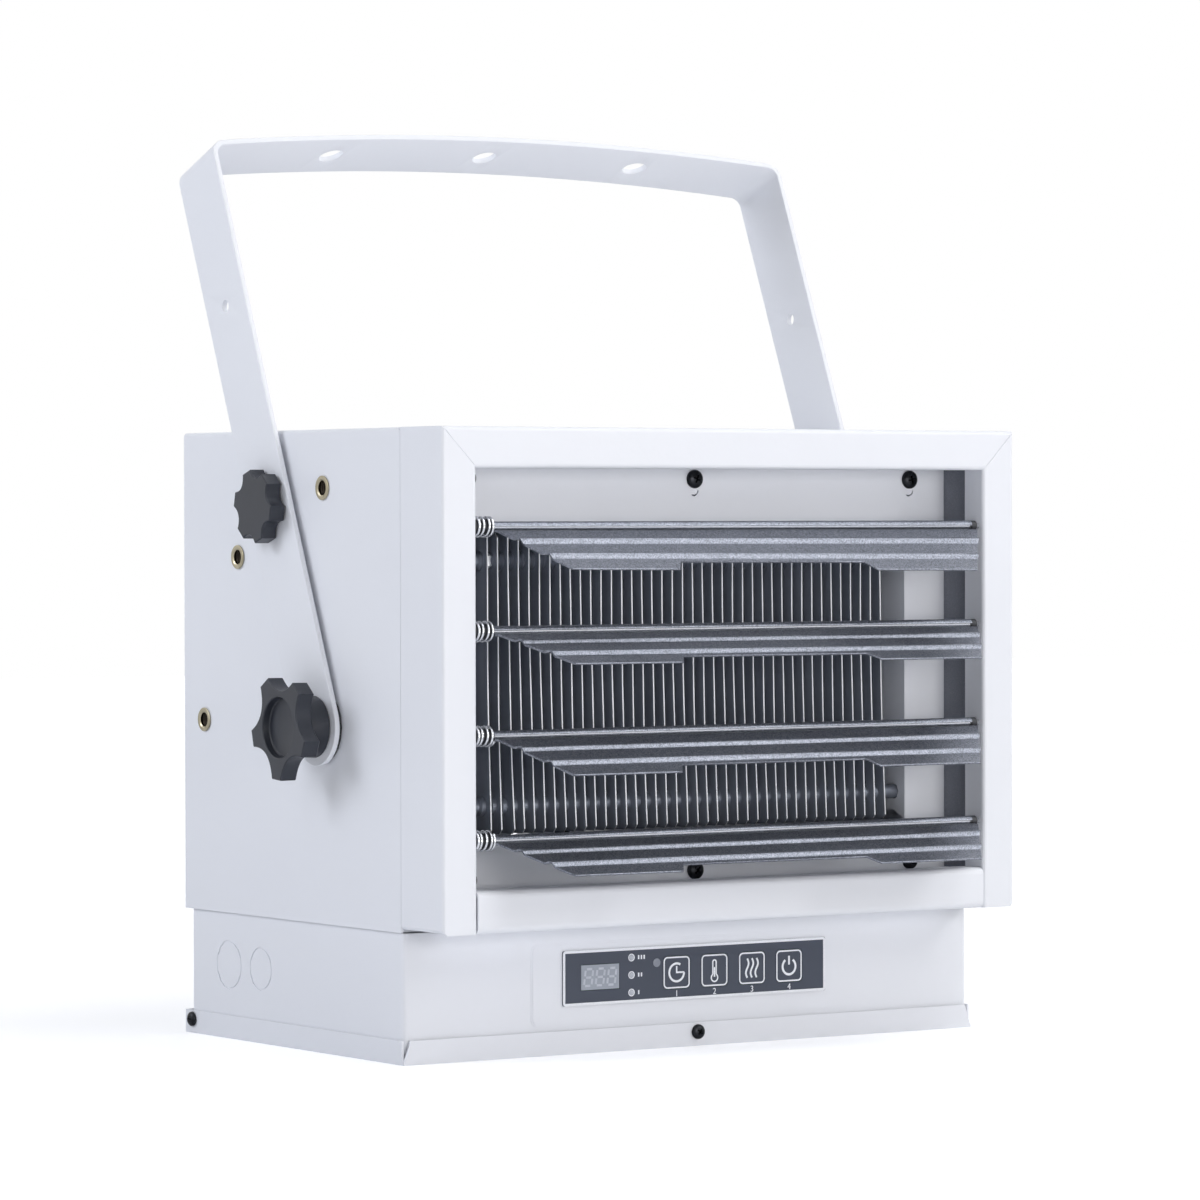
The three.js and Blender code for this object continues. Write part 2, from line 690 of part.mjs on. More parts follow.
for (let i = 0; i < louvreCount; i += 1) {
  const group = new THREE.Group();
  group.position.set(louvreMiddle, louvreAxisY, louvreAxisZ(i));
  group.rotation.x = -louvreTilts[i] * deg;
  place(`louvre_${i + 1}`, louvreBlade(), darkPaint, group);
  heater.add(group);
  const spring = place(`louvre_spring_${i + 1}`, pinSpring(), brightSteel);
  spring.position.set(-openingHalf + seat, louvreAxisY, louvreAxisZ(i));
}

// ---------------------------------------------------------------- fan and motor

const hubRear = fanY + fanHubLength / 2;
const motorFront = hubRear + hubToMotor;
const motorRear = motorFront + motorLength;

// A blade lofted from root to tip: it widens, flattens and keeps a slight camber.
function fanBlade() {
  const root = fanHubRadius - 2;
  const blade = new THREE.BoxGeometry(1, 1, 1, 4, 1, 3);
  const places = blade.attributes.position;
  for (let i = 0; i < places.count; i += 1) {
    const t = places.getX(i) + 0.5;
    const across = places.getZ(i);
    const chord = bladeRootChord + (bladeTipChord - bladeRootChord) * t;
    const pitch = (bladeRootPitch + (bladeTipPitch - bladeRootPitch) * t) * deg;
    const lift = bladeCamber * (1 - 4 * across * across) + places.getY(i) * bladeThickness;
    const radius = root + t * (fanRadius - root) - bladeRake * t * across * across;
    places.setXYZ(i, radius, lift * Math.cos(pitch) + across * chord * Math.sin(pitch),
      across * chord * Math.cos(pitch) - lift * Math.sin(pitch));
  }
  return blade;
}

function fanWheel() {
  const hubFront = fanY - fanHubLength / 2;
  let wheel = solidFrom(turned([
    [0, hubFront], [fanHubRadius * 0.7, hubFront], [fanHubRadius, hubFront + 4],
    [fanHubRadius, hubRear], [shaftRadius, hubRear], [shaftRadius, motorFront + shaftSeat],
    [0, motorFront + shaftSeat],
  ], 18));
  for (let i = 0; i < fanBlades; i += 1) {
    const blade = fanBlade().rotateY((i * 2 * Math.PI) / fanBlades).translate(0, fanY, 0);
    wheel = wheel.add(solidFrom(blade));
  }
  return wheel;
}

function fanMotor() {
  const bore = shaftRadius + shaftClearance;
  const boss = bore + 8;
  const boreEnd = motorFront + shaftSeat + 2;
  return solidFrom(turned([
    [0, boreEnd], [bore, boreEnd], [bore, motorFront], [boss, motorFront],
    [boss, motorFront + 4], [motorRadius - 5, motorFront + 4], [motorRadius, motorFront + 9],
    [motorRadius, motorRear - 6], [motorRadius - 6, motorRear], [0, motorRear],
  ], 18));
}

// Bent strap that carries the motor across the air intake, with its feet on the back panel.
function motorBracket() {
  const footY = rearY - 2 * seat - sheet - sheet / 2;
  const motorSeatY = motorRear + seat + sheet / 2;
  const legReach = intakeRadius + motorLegSlope;
  const footReach = legReach + motorFoot;
  const midline = [
    [footY, fanHeight - footReach], [footY, fanHeight - legReach],
    [motorSeatY, fanHeight - intakeRadius], [motorSeatY, fanHeight + intakeRadius],
    [footY, fanHeight + legReach], [footY, fanHeight + footReach],
  ];
  return sweptX(foldedSheet(midline, sheet), -motorStrapWidth / 2, motorStrapWidth / 2);
}

// Plate with a ring round the blade tips, folded back along its edges to meet the cabinet.
function fanShroud() {
  const ringRadius = fanRadius + shroudClearance;
  const reachX = innerHalf - seat;
  const low = floorTop + seat;
  const high = cabinetTop - sheet - seat;
  const tray = block(-reachX, reachX, shroudY, shroudY + shroudFold, low, high)
    .subtract(block(-reachX + sheet, reachX - sheet, shroudY + sheet, shroudY + shroudFold + cut,
      low + sheet, high - sheet));
  const lip = rodY(ringRadius + sheet, shroudY, shroudY + shroudDepth, 0, fanHeight, 32);
  const hole = rodY(ringRadius, shroudY - cut, shroudY + shroudDepth + cut, 0, fanHeight, 32);
  return tray.add(lip).subtract(hole);
}

// Disc thermostat riveted on the shroud, above the fan.
function thermalCutout() {
  const backY = shroudY - seat;
  const z = cabinetTop - cutoutDrop;
  const width = cutoutRadius * 0.6;
  const ears = block(cutoutX - cutoutEar, cutoutX + cutoutEar, backY - sheet, backY, z - width, z + width);
  const disc = rodY(cutoutRadius, backY - cutoutDepth, backY, cutoutX, z, 14);
  const tabs = [-1, 1].map((side) => block(cutoutX + side * 4 - tabThickness / 2,
    cutoutX + side * 4 + tabThickness / 2, backY - cutoutDepth - tabLength, backY - cutoutDepth + cut,
    z - tabLength / 2, z + tabLength / 2));
  return wasm.Manifold.union([ears, disc, ...tabs]);
}

const fan = place('fan_wheel', fanWheel(), blackPlastic);
fan.position.set(0, 0, fanHeight);
const motor = place('fan_motor', fanMotor(), motorGrey);
motor.position.set(0, 0, fanHeight);
place('motor_bracket', motorBracket(), brightSteel);
place('fan_shroud', fanShroud(), whitePaint);
place('thermal_cutout', thermalCutout(), blackPlastic);

// ---------------------------------------------------------------- control box and tray

// A knockout: a round groove in the wall, pressed deeper over two arcs than at its two tabs.
function knockoutGrooves(side, { fromRear, radius }) {
  const x = side * boxHalf;
  const y = rearY - fromRear;
  const arcs = [knockoutTab / 2, 180 + knockoutTab / 2].map((from) => [from, from + 180 - knockoutTab]);
  const rim = (r) => arcs.flatMap(([from, to]) => [
    ...arcPoints(y, knockoutHeight, r, from, to, 6),
    ...arcPoints(y, knockoutHeight, r, to, to + knockoutTab, 2).slice(1, -1),
  ]);
  const whole = outline(rim(radius));
  whole.holes.push(new THREE.Path(rim(radius - knockoutGroove).map(([a, b]) => new THREE.Vector2(a, b))));
  const deep = arcs.map(([from, to]) => sweptX(outline([
    ...arcPoints(y, knockoutHeight, radius, from, to, 6),
    ...arcPoints(y, knockoutHeight, radius - knockoutGroove, to, from, 6),
  ]), x - knockoutGrooveDepth, x + knockoutGrooveDepth));
  return wasm.Manifold.union([sweptX(whole, x - knockoutTabDepth, x + knockoutTabDepth), ...deep]);
}

// Four walls under the cabinet: a raised pad with the panel window, and knockouts at the sides.
function controlBox() {
  const outer = roundedBox(boxHalf, seamY, boxRearY, boxCorner);
  const inner = roundedBox(boxHalf - sheet, seamY + sheet, boxRearY - sheet, boxCorner - sheet);
  let box = sweptZ(outer, boxFloor, boxTop).subtract(sweptZ(inner, boxFloor - cut, boxTop + cut));
  const padLow = panelHeight - padDrop - padHeight / 2;
  const padHigh = padLow + padHeight;
  const slope = 2 * padRaise;
  const pad = roundedBox(padWidth / 2, padLow, padHigh, padCorner);
  const padTop = roundedBox(padWidth / 2 - slope, padLow + slope, padHigh - slope, padCorner - slope);
  box = box.add(sweptY(pad, padFaceY + padRaise / 2, seamY + sheet / 2));
  box = box.add(sweptY(padTop, padFaceY, seamY + sheet / 2));
  const windowEdge = keySize / 2 + 1;
  const window = block(displayX - displayWidth / 2 - 1, lastKeyX + windowEdge, padFaceY - cut,
    seamY + sheet + cut, panelHeight - windowEdge, panelHeight + windowEdge);
  box = box.subtract(window);
  for (const side of [-1, 1]) {
    for (const knockout of knockouts) box = box.subtract(knockoutGrooves(side, knockout));
    box = box.subtract(rodX(screwHole, side * boxHalf - 3, side * boxHalf + 3,
      sideScrewY, trayScrewZ, 8));
  }
  return box.subtract(screwHoleY(0, seamY, trayScrewZ));
}

// Shallow tray that closes the box from below, with a lip on all four sides.
function bottomTray() {
  const outer = block(-half, half, trayFrontY, rearY, 0, trayLip);
  const inner = block(-innerHalf, innerHalf, trayFrontY + sheet, rearY - sheet, sheet, trayLip + cut);
  let tray = outer.subtract(inner);
  for (const side of [-1, 1]) {
    // The corner is left open above the bend, with its lip mitred back.
    const relief = outline([[side * (half + cut), trayLip + cut], [side * (half - 4.5), trayLip + cut],
      [side * (half - 0.4), sheet + 0.4], [side * (half + cut), sheet + 0.4]]);
    tray = tray.subtract(sweptY(relief, trayFrontY - cut, trayFrontY + sheet + 0.8));
    tray = tray.subtract(rodX(screwHole, side * half - 3, side * half + 3, sideScrewY, trayScrewZ, 8));
  }
  return tray.subtract(screwHoleY(0, trayFrontY, trayScrewZ));
}

place('control_box', controlBox(), whitePaint);
place('bottom_tray', bottomTray(), whitePaint);

// ---------------------------------------------------------------- control panel

const overlayBackY = padFaceY - seat;
const overlayFaceY = overlayBackY - overlayThickness;
const keyFrontY = overlayFaceY;
const boardFrontY = seamY + sheet + boardStandoff;

function overlayPanel() {
  const plate = sweptY(roundedBox(overlayWidth / 2, panelHeight - overlayHeight / 2,
    panelHeight + overlayHeight / 2, 1), overlayFaceY, overlayBackY, 1);
  let panel = plate.subtract(block(displayX - displayWidth / 2 - seat, displayX + displayWidth / 2 + seat,
    overlayFaceY - cut, overlayBackY + cut, panelHeight - displayHeight / 2 - seat,
    panelHeight + displayHeight / 2 + seat));
  const hole = roundedBox(keySize / 2 + seat, -keySize / 2 - seat, keySize / 2 + seat, keyCorner + seat);
  for (let i = 0; i < keyNames.length; i += 1) {
    panel = panel.subtract(sweptY(hole, overlayFaceY - cut, overlayBackY + cut, 1)
      .translate(firstKeyX + i * keyPitch, 0, panelHeight));
  }
  return panel;
}

function panelKey() {
  return sweptY(roundedBox(keySize / 2, -keySize / 2, keySize / 2, keyCorner), 0, keyThickness, 1);
}

function displayModule() {
  return block(displayX - displayWidth / 2, displayX + displayWidth / 2, overlayFaceY,
    boardFrontY - seat, panelHeight - displayHeight / 2, panelHeight + displayHeight / 2);
}

// Circuit board with its four tact switches, on standoffs that meet the front wall.
function controlBoard() {
  const reach = overlayWidth / 2 + 2;
  const low = panelHeight - overlayHeight / 2;
  const high = panelHeight + overlayHeight / 2;
  const root = boardFrontY + boardThickness / 2;
  const pieces = [block(-reach, reach, boardFrontY, boardFrontY + boardThickness, low, high)];
  for (const x of [-reach + standoffInset, reach - standoffInset]) {
    for (const z of [low + standoffInset, high - standoffInset]) {
      pieces.push(rodY(standoffRadius, seamY + sheet + seat, root, x, z, 6));
    }
  }
  const stemFront = keyFrontY + keyThickness + keyTravel + seat;
  for (let i = 0; i < keyNames.length; i += 1) {
    const x = firstKeyX + i * keyPitch;
    pieces.push(block(x - switchHalf, x + switchHalf, stemFront + stemLength, root,
      panelHeight - switchHalf, panelHeight + switchHalf));
    pieces.push(rodY(stemRadius, stemFront, root, x, panelHeight, 6));
  }
  return wasm.Manifold.union(pieces);
}

place('overlay_panel', overlayPanel(), panelFilm);
keyNames.forEach((name, i) => {
  const key = place(name, panelKey(), panelFilm);
  key.position.set(firstKeyX + i * keyPitch, keyFrontY, panelHeight);
});
place('display_module', displayModule(), displayGlass);
place('control_board', controlBoard(), boardGreen);

// ---------------------------------------------------------------- power parts in the box

// A box that stands on the floor of the control box, from its middle and its sizes.
function standing({ x, y, width, depth, height }) {
  return block(x - width / 2, x + width / 2, y - depth / 2, y + depth / 2, boxFloor, boxFloor + height);
}

// Terminal strip: a barrier and a wire well for each way.
function terminalBlock() {
  const { x, y, width, depth, height } = terminalBox;
  const pitch = width / terminalWays;
  let strip = standing(terminalBox);
  for (let i = 0; i < terminalWays; i += 1) {
    const middle = x - width / 2 + (i + 0.5) * pitch;
    strip = strip.add(standing({ x: middle, y, width: pitch / 9, depth, height: height + 6 }));
    const well = standing({ x: middle + pitch / 2, y, width: pitch * 0.6, depth: depth / 2, height: 7 });
    if (i < terminalWays - 1) strip = strip.subtract(well.translate(0, 0, height - 6));
  }
  return strip;
}

function powerRelay() {
  const { x, y, width, depth, height } = relayBox;
  const foot = standing({ x, y, width: width + 2 * relayFoot.overhang, depth: relayFoot.depth,
    height: relayFoot.height });
  const tabs = Array.from({ length: relayTabs }, (_, i) => standing({
    x: x + ((i + 0.5) / relayTabs - 0.5) * width, y: y - depth / 4, width: tabThickness,
    depth: tabLength, height: height + 8,
  }));
  return wasm.Manifold.union([standing(relayBox), foot, ...tabs]);
}

place('terminal_block', terminalBlock(), creamPlastic);
place('power_relay', powerRelay(), blackPlastic);

// ---------------------------------------------------------------- screws and inserts

// Pan head with its shank, head outwards along +Y at the start.
function screwForm(headRadius, length) {
  return turned([
    [0, -length], [screwShank, -length], [screwShank, seat], [headRadius, seat],
    [headRadius, seat + headRadius * 0.25], [headRadius * 0.6, seat + headRadius * 0.55],
    [0, seat + headRadius * 0.6],
  ], 8);
}

const frontwards = (form) => form.rotateX(Math.PI);

for (const [row, z] of [['top', topScrewZ], ['bottom', bottomScrewZ]]) {
  screwPlaces.forEach((x, i) => {
    const form = solidFrom(frontwards(screwForm(trussScrewHead, trussScrewLength)));
    place(`baffle_screw_${row}_${i + 1}`, form, blackSteel).position.set(x, seamY, z);
  });
}

const frontScrew = solidFrom(frontwards(screwForm(trayScrewHead, trayScrewLength)));
place('tray_screw_front', frontScrew, blackSteel).position.set(0, trayFrontY, trayScrewZ);
for (const [name, side] of [['tray_screw_left', -1], ['tray_screw_right', 1]]) {
  const form = solidFrom(screwForm(trayScrewHead, trayScrewLength).rotateZ((-side * Math.PI) / 2));
  place(name, form, blackSteel).position.set(side * half, sideScrewY, trayScrewZ);
}

// Flanged threaded insert, riveted in the cabinet wall.
function threadedInsert() {
  return turned([
    [insertBoreRadius, -insertLength], [insertBarrelRadius, -insertLength],
    [insertBarrelRadius, seat], [insertFlangeRadius, seat],
    [insertFlangeRadius - 0.5, seat + insertFlange], [insertBoreRadius, seat + insertFlange],
    [insertBoreRadius, -insertLength],
  ], 8);
}

for (const [tag, side] of [['left', -1], ['right', 1]]) {
  for (const { tag: spot, y, z } of insertPlaces) {
    const form = solidFrom(threadedInsert().rotateZ((-side * Math.PI) / 2));
    place(`insert_${spot}_${tag}`, form, zincSteel).position.set(side * half, y, z);
  }
  const [low, high] = side > 0 ? [half, strapInner] : [-strapInner, -half];
  const washer = rodX(spacerRadius, low + seat, high - seat, 0, 0, 20)
    .subtract(rodX(insertFlangeRadius + seat, low - cut, high + cut, 0, 0, 10));
  place(`pivot_spacer_${tag}`, washer, blackPlastic).position.set(0, pivotY, pivotHeight);
}

// ---------------------------------------------------------------- bracket

// One surface of the strap, from foot to foot over the arched crown, at an inset from its outside.
function strapSurface(inset) {
  const archCentre = crownHeight - crownRadius;
  const bendX = strapOuter - strapBend;
  const bendZ = archCentre + Math.sqrt((crownRadius - strapBend) ** 2 - bendX ** 2);
  const turn = Math.atan2(bendZ - archCentre, bendX) / deg;
  const armX = strapOuter - inset;
  return [
    [armX, -strapWidth],
    ...arcPoints(bendX, bendZ, strapBend - inset, 0, turn, 4),
    ...arcPoints(0, archCentre, crownRadius - inset, turn, 180 - turn, crownFacets).slice(1, -1),
    ...arcPoints(-bendX, bendZ, strapBend - inset, 180 - turn, 180, 4),
    [-armX, -strapWidth],
  ];
}

// The strap is drawn upright about its pivot, with round feet and its holes.
function bracketStrap() {
  const past = strapOuter + cut;
  const bar = sweptY(outline([...strapSurface(0), ...strapSurface(strapThickness).reverse()]),
    -strapWidth / 2, strapWidth / 2);
  const side = new THREE.Shape();
  side.moveTo(strapWidth / 2, 0);
  side.lineTo(strapWidth / 2, crownHeight + cut);
  side.lineTo(-strapWidth / 2, crownHeight + cut);
  side.lineTo(-strapWidth / 2, 0);
  side.absarc(0, 0, strapWidth / 2, Math.PI, 2 * Math.PI, false);
  let strap = bar.intersect(sweptX(side, -past, past, 5));
  strap = strap.subtract(rodX(clampStudRadius + studClearance, -past, past, 0, 0, 12));
  strap = strap.subtract(rodX(lockStudRadius + studClearance, -past, past, 0, indexRadius, 10));
  strap = strap.subtract(rodX(armHoleRadius, -past, past, 0, armHoleHeight, 10));
  for (const x of [-crownHolePitch, 0, crownHolePitch]) {
    strap = strap.subtract(post(crownHoleRadius, crownHoleRadius,
      crownHeight - 4 * strapThickness, crownHeight + cut, 14).translate(x, 0, 0));
  }
  return strap;
}

// A lobed outline: a straight tip on each lobe and a hollow curve between two lobes.
function lobedOutline(radius, waist, tipWidth, lobes, phase) {
  const shape = new THREE.Shape();
  const step = (2 * Math.PI) / lobes;
  const tipAngle = Math.asin(tipWidth / 2 / radius);
  const at = (r, angle) => [r * Math.cos(angle), r * Math.sin(angle)];
  const pull = 2 * waist - radius * Math.cos(step / 2 - tipAngle);
  for (let i = 0; i < lobes; i += 1) {
    const middle = phase + i * step;
    const [x0, y0] = at(radius, middle - tipAngle);
    if (i === 0) shape.moveTo(x0, y0);
    shape.lineTo(...at(radius, middle + tipAngle));
    shape.quadraticCurveTo(...at(pull, middle + step / 2), ...at(radius, middle + step - tipAngle));
  }
  return shape;
}

// Knobs are drawn with their stud towards -Z and their face at the top, then laid on their side.
function lobedHead(shape, z0, z1, bevel) {
  return solidFrom(new THREE.ExtrudeGeometry(shape, {
    depth: z1 - z0 - 2 * bevel, bevelEnabled: true, bevelThickness: bevel, bevelSize: bevel,
    bevelOffset: -bevel, bevelSegments: 1, curveSegments: 4,
  }).translate(0, 0, z0 + bevel));
}

function post(radiusLow, radiusHigh, z0, z1, sides) {
  const geometry = new THREE.CylinderGeometry(radiusHigh, radiusLow, z1 - z0, sides);
  return solidFrom(geometry.rotateX(Math.PI / 2).translate(0, 0, (z0 + z1) / 2));
}

function clampKnob() {
  const star = lobedOutline(clampKnobRadius, clampKnobWaist, clampKnobTip, clampKnobLobes, 0);
  const collar = clampCollarDepth;
  const face = collar + clampStarDepth;
  const studReach = strapOuter + seat - half + insertLength - 2;
  return lobedHead(star, collar, face, knobDraft)
    .subtract(post(clampRecessRadius - knobDraft, clampRecessRadius, face - clampRecessDepth, face + cut, 24))
    .add(post(clampCollarRadius, clampCollarRadius - knobDraft, 0, collar + cut, 24))
    .add(post(clampStudRadius, clampStudRadius, -studReach, cut, 10));
}

function lockKnob() {
  const star = lobedOutline(lockKnobRadius, lockKnobWaist, lockKnobTip, lockKnobLobes, 0);
  const studReach = strapOuter + seat - half - insertFlange - 2 * seat;
  return lobedHead(star, lockBossDepth, lockBossDepth + lockKnobDepth, knobDraft)
    .add(post(lockBossRadius, lockBossRadius, 0, lockBossDepth + cut, 14))
    .add(post(lockStudRadius, lockStudRadius, -studReach, cut, 8));
}

// Turns a knob's +Z outwards on one side and sets its first lobe behind the vertical.
function layOnSide(knob, side, phase) {
  const turn = side < 0 ? -1 : 1;
  return geometryFrom(knob).rotateZ(turn * phase * deg).rotateY((side * Math.PI) / 2);
}

const bracket = new THREE.Group();
bracket.position.set(0, pivotY, pivotHeight);
bracket.rotation.x = -bracketTilt * deg;
heater.add(bracket);
place('mounting_bracket', bracketStrap(), whitePaint, bracket);

for (const [tag, side] of [['left', -1], ['right', 1]]) {
  const faceX = side * (strapOuter + seat);
  const clamp = layOnSide(clampKnob(), side, side * 90 - clampKnobPhase);
  place(`clamp_knob_${tag}`, clamp, blackPlastic).position.set(faceX, pivotY, pivotHeight);
  const lock = layOnSide(lockKnob(), side, side * 90 - lockKnobPhase + bracketTilt);
  place(`lock_knob_${tag}`, lock, blackPlastic, bracket).position.set(faceX, 0, indexRadius);
}

export default heater;
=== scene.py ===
"""Looks of a ceiling mounted fan heater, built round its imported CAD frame. Metres, +Z up, front to -Y."""

import math

import bmesh
import bpy
from mathutils import Matrix, Vector


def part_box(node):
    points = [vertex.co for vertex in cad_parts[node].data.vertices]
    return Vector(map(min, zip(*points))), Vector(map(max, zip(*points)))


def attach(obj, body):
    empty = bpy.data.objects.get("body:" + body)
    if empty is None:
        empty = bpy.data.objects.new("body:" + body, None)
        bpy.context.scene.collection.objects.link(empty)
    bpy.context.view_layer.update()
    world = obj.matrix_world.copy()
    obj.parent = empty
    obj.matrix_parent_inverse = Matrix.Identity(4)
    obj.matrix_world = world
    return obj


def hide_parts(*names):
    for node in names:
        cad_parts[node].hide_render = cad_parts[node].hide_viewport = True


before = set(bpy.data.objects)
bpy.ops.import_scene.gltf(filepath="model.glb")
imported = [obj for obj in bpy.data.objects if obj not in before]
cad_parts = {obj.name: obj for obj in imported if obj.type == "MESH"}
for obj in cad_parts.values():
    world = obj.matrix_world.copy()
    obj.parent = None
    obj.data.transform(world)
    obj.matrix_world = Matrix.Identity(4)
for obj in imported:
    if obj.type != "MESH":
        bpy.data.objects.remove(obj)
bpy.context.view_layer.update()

# ---------------------------------------------------------------- camera
# The camera stands to the left of the heater, a little under three metres away, with a long lens
# held level. Its place comes from the corners of the cabinet, the bezel and the tray.

camera_azimuth = math.radians(33.92)
camera_pitch = math.radians(-0.861)
camera_roll = math.radians(-0.117)
camera_distance = 2.783
camera_lens = 160.62
camera_sensor = 36
camera_aim = Vector((-0.0883, -0.1525, 0.2402))

forward = Vector((
    math.sin(camera_azimuth) * math.cos(camera_pitch),
    math.cos(camera_azimuth) * math.cos(camera_pitch),
    math.sin(camera_pitch),
))
level = Vector((math.cos(camera_azimuth), -math.sin(camera_azimuth), 0))
upright = level.cross(forward)
right = level * math.cos(camera_roll) + upright * math.sin(camera_roll)
up = upright * math.cos(camera_roll) - level * math.sin(camera_roll)

camera = bpy.data.objects.new("camera", bpy.data.cameras.new("camera"))
bpy.context.scene.collection.objects.link(camera)
camera.data.sensor_width = camera_sensor
camera.data.lens = camera_lens
camera.data.clip_end = 50
camera_turn = Matrix((right, up, -forward)).transposed()
camera.matrix_world = Matrix.Translation(camera_aim - forward * camera_distance) @ camera_turn.to_4x4()
bpy.context.scene.camera = camera
bpy.context.scene.view_settings.view_transform = "Standard"

# ---------------------------------------------------------------- room
# White matt paper under the heater and white air round it, lit by five softboxes: the key in front
# on the right, a low one in front on the left, a large one and a strip on the left, and one overhead.


def linear(colour):
    """The linear RGBA of an sRGB hex colour."""
    parts = [int(colour[i:i + 2], 16) / 255 for i in (1, 3, 5)]
    return [p / 12.92 if p <= 0.04045 else ((p + 0.055) / 1.055) ** 2.4 for p in parts] + [1]


def add_node(tree, kind, settings=None):
    """Adds a shader node. Lower-case settings are properties. The others, and numbers, are sockets,
    which get a value or a link from another node's output. A node stands for its first output.
    A Mix of colours has its factor at 0, its colours at 6 and 7, and its result at output 2."""
    node = tree.nodes.new("ShaderNode" + kind)
    for name, value in (settings or {}).items():
        if isinstance(value, bpy.types.Node):
            value = value.outputs[0]
        if isinstance(value, bpy.types.NodeSocket):
            tree.links.new(value, node.inputs[name])
        elif isinstance(name, str) and name[0].islower():
            setattr(node, name, value)
        else:
            node.inputs[name].default_value = value
    return node


# Matt white paper: it takes the heater's shadow, and its own white, which the camera alone sees,
# grows with the distance so that no horizon shows.
paper = bpy.data.materials.new("studio_paper")
paper.use_nodes = True
tree = paper.node_tree
tree.nodes.clear()
place = add_node(tree, "TexCoord")
away = add_node(tree, "VectorMath", {"operation": "LENGTH", 0: place.outputs["Object"]})
lift = add_node(tree, "MapRange", {"Value": away.outputs["Value"], "From Min": 0.7, "From Max": 1.6,
                                   "To Min": 0.4, "To Max": 0.85})
seen = add_node(tree, "LightPath")
glow = add_node(tree, "Math", {"operation": "MULTIPLY", 0: lift, 1: seen.outputs["Is Camera Ray"]})
matt = add_node(tree, "BsdfDiffuse", {"Color": linear("#F4F5F8")})
white = add_node(tree, "Emission", {"Strength": glow, "Color": (1, 1, 1, 1)})
both = add_node(tree, "AddShader", {0: matt, 1: white})
add_node(tree, "OutputMaterial", {"Surface": both})

floor_reach = 6.0
floor_mesh = bpy.data.meshes.new("floor")
floor_corners = [(x * floor_reach, y * floor_reach, 0) for x, y in ((-1, -1), (1, -1), (1, 1), (-1, 1))]
floor_mesh.from_pydata(floor_corners, [], [(0, 1, 2, 3)])
floor_mesh.materials.append(paper)
floor = bpy.data.objects.new("floor", floor_mesh)
bpy.context.scene.collection.objects.link(floor)

# White air: full white to the camera, in gloss and through glass. As fill light it is two fifths as
# strong, and it fades towards the front left, as if a dark flag stood behind the camera.
world = bpy.data.worlds.new("studio_air")
bpy.context.scene.world = world
world.use_nodes = True
tree = world.node_tree
seen = add_node(tree, "LightPath")
through = add_node(tree, "Math", {"operation": "MAXIMUM", 0: seen.outputs["Is Camera Ray"],
                                  1: seen.outputs["Is Transmission Ray"]})
shown = add_node(tree, "Math", {"operation": "MAXIMUM", 0: through, 1: seen.outputs["Is Glossy Ray"]})
heading = add_node(tree, "TexCoord")
flagged = add_node(tree, "VectorMath", {"operation": "DOT_PRODUCT", 0: heading.outputs["Generated"],
                                        1: (-0.45, -0.89, 0.0)})
fill = add_node(tree, "MapRange", {"Value": flagged.outputs["Value"], "From Min": 0.0, "From Max": 0.8,
                                   "To Min": 0.4, "To Max": 0.05})
strength = add_node(tree, "Math", {"operation": "MAXIMUM", 0: shown, 1: fill})
tree.nodes["Background"].inputs["Color"].default_value = (1, 1, 1, 1)
tree.links.new(strength.outputs[0], tree.nodes["Background"].inputs["Strength"])

lamp_aim = Vector((0, 0, 0.22))


def softbox(name, place, width, height, power, colour):
    """A rectangular softbox turned towards the middle of the heater."""
    lamp = bpy.data.lights.new(name, "AREA")
    lamp.shape = "RECTANGLE"
    lamp.size = width
    lamp.size_y = height
    lamp.energy = power
    lamp.color = linear(colour)[:3]
    holder = bpy.data.objects.new(name, lamp)
    holder.location = place
    holder.rotation_euler = (lamp_aim - Vector(place)).to_track_quat("-Z", "Y").to_euler()
    bpy.context.scene.collection.objects.link(holder)


softbox("key_softbox", (1.5, -1.9, 1.5), 0.8, 0.9, 14.5, "#FFFFFF")
softbox("low_softbox", (-0.2, -2.3, 0.35), 1.2, 0.6, 16.5, "#FFFDFC")
softbox("left_softbox", (-2.1, 0.9, 1.4), 1.2, 1.2, 24, "#F2F6FF")
softbox("left_strip", (-1.9, -0.9, 1.5), 0.3, 0.9, 3, "#F6F9FF")
softbox("top_softbox", (0.6, -0.8, 2.15), 1.4, 1.0, 17, "#FAFCFF")

# ---------------------------------------------------------------- painted sheet metal
# The cabinet, bezel, baffle, control box, tray and bracket are folded steel, dipped in a cool
# white polyester powder and baked. The folds are the frame's own, and only their skin is made here.


def new_material(name, colour, roughness, metallic=0.0):
    """A material of one Principled shader, with its tree, its shader and the object's coordinates."""
    material = bpy.data.materials.new(name)
    material.use_nodes = True
    tree = material.node_tree
    shader = tree.nodes["Principled BSDF"]
    shader.inputs["Base Color"].default_value = linear(colour)
    shader.inputs["Roughness"].default_value = roughness
    shader.inputs["Metallic"].default_value = metallic
    return material, tree, shader, add_node(tree, "TexCoord").outputs["Object"]


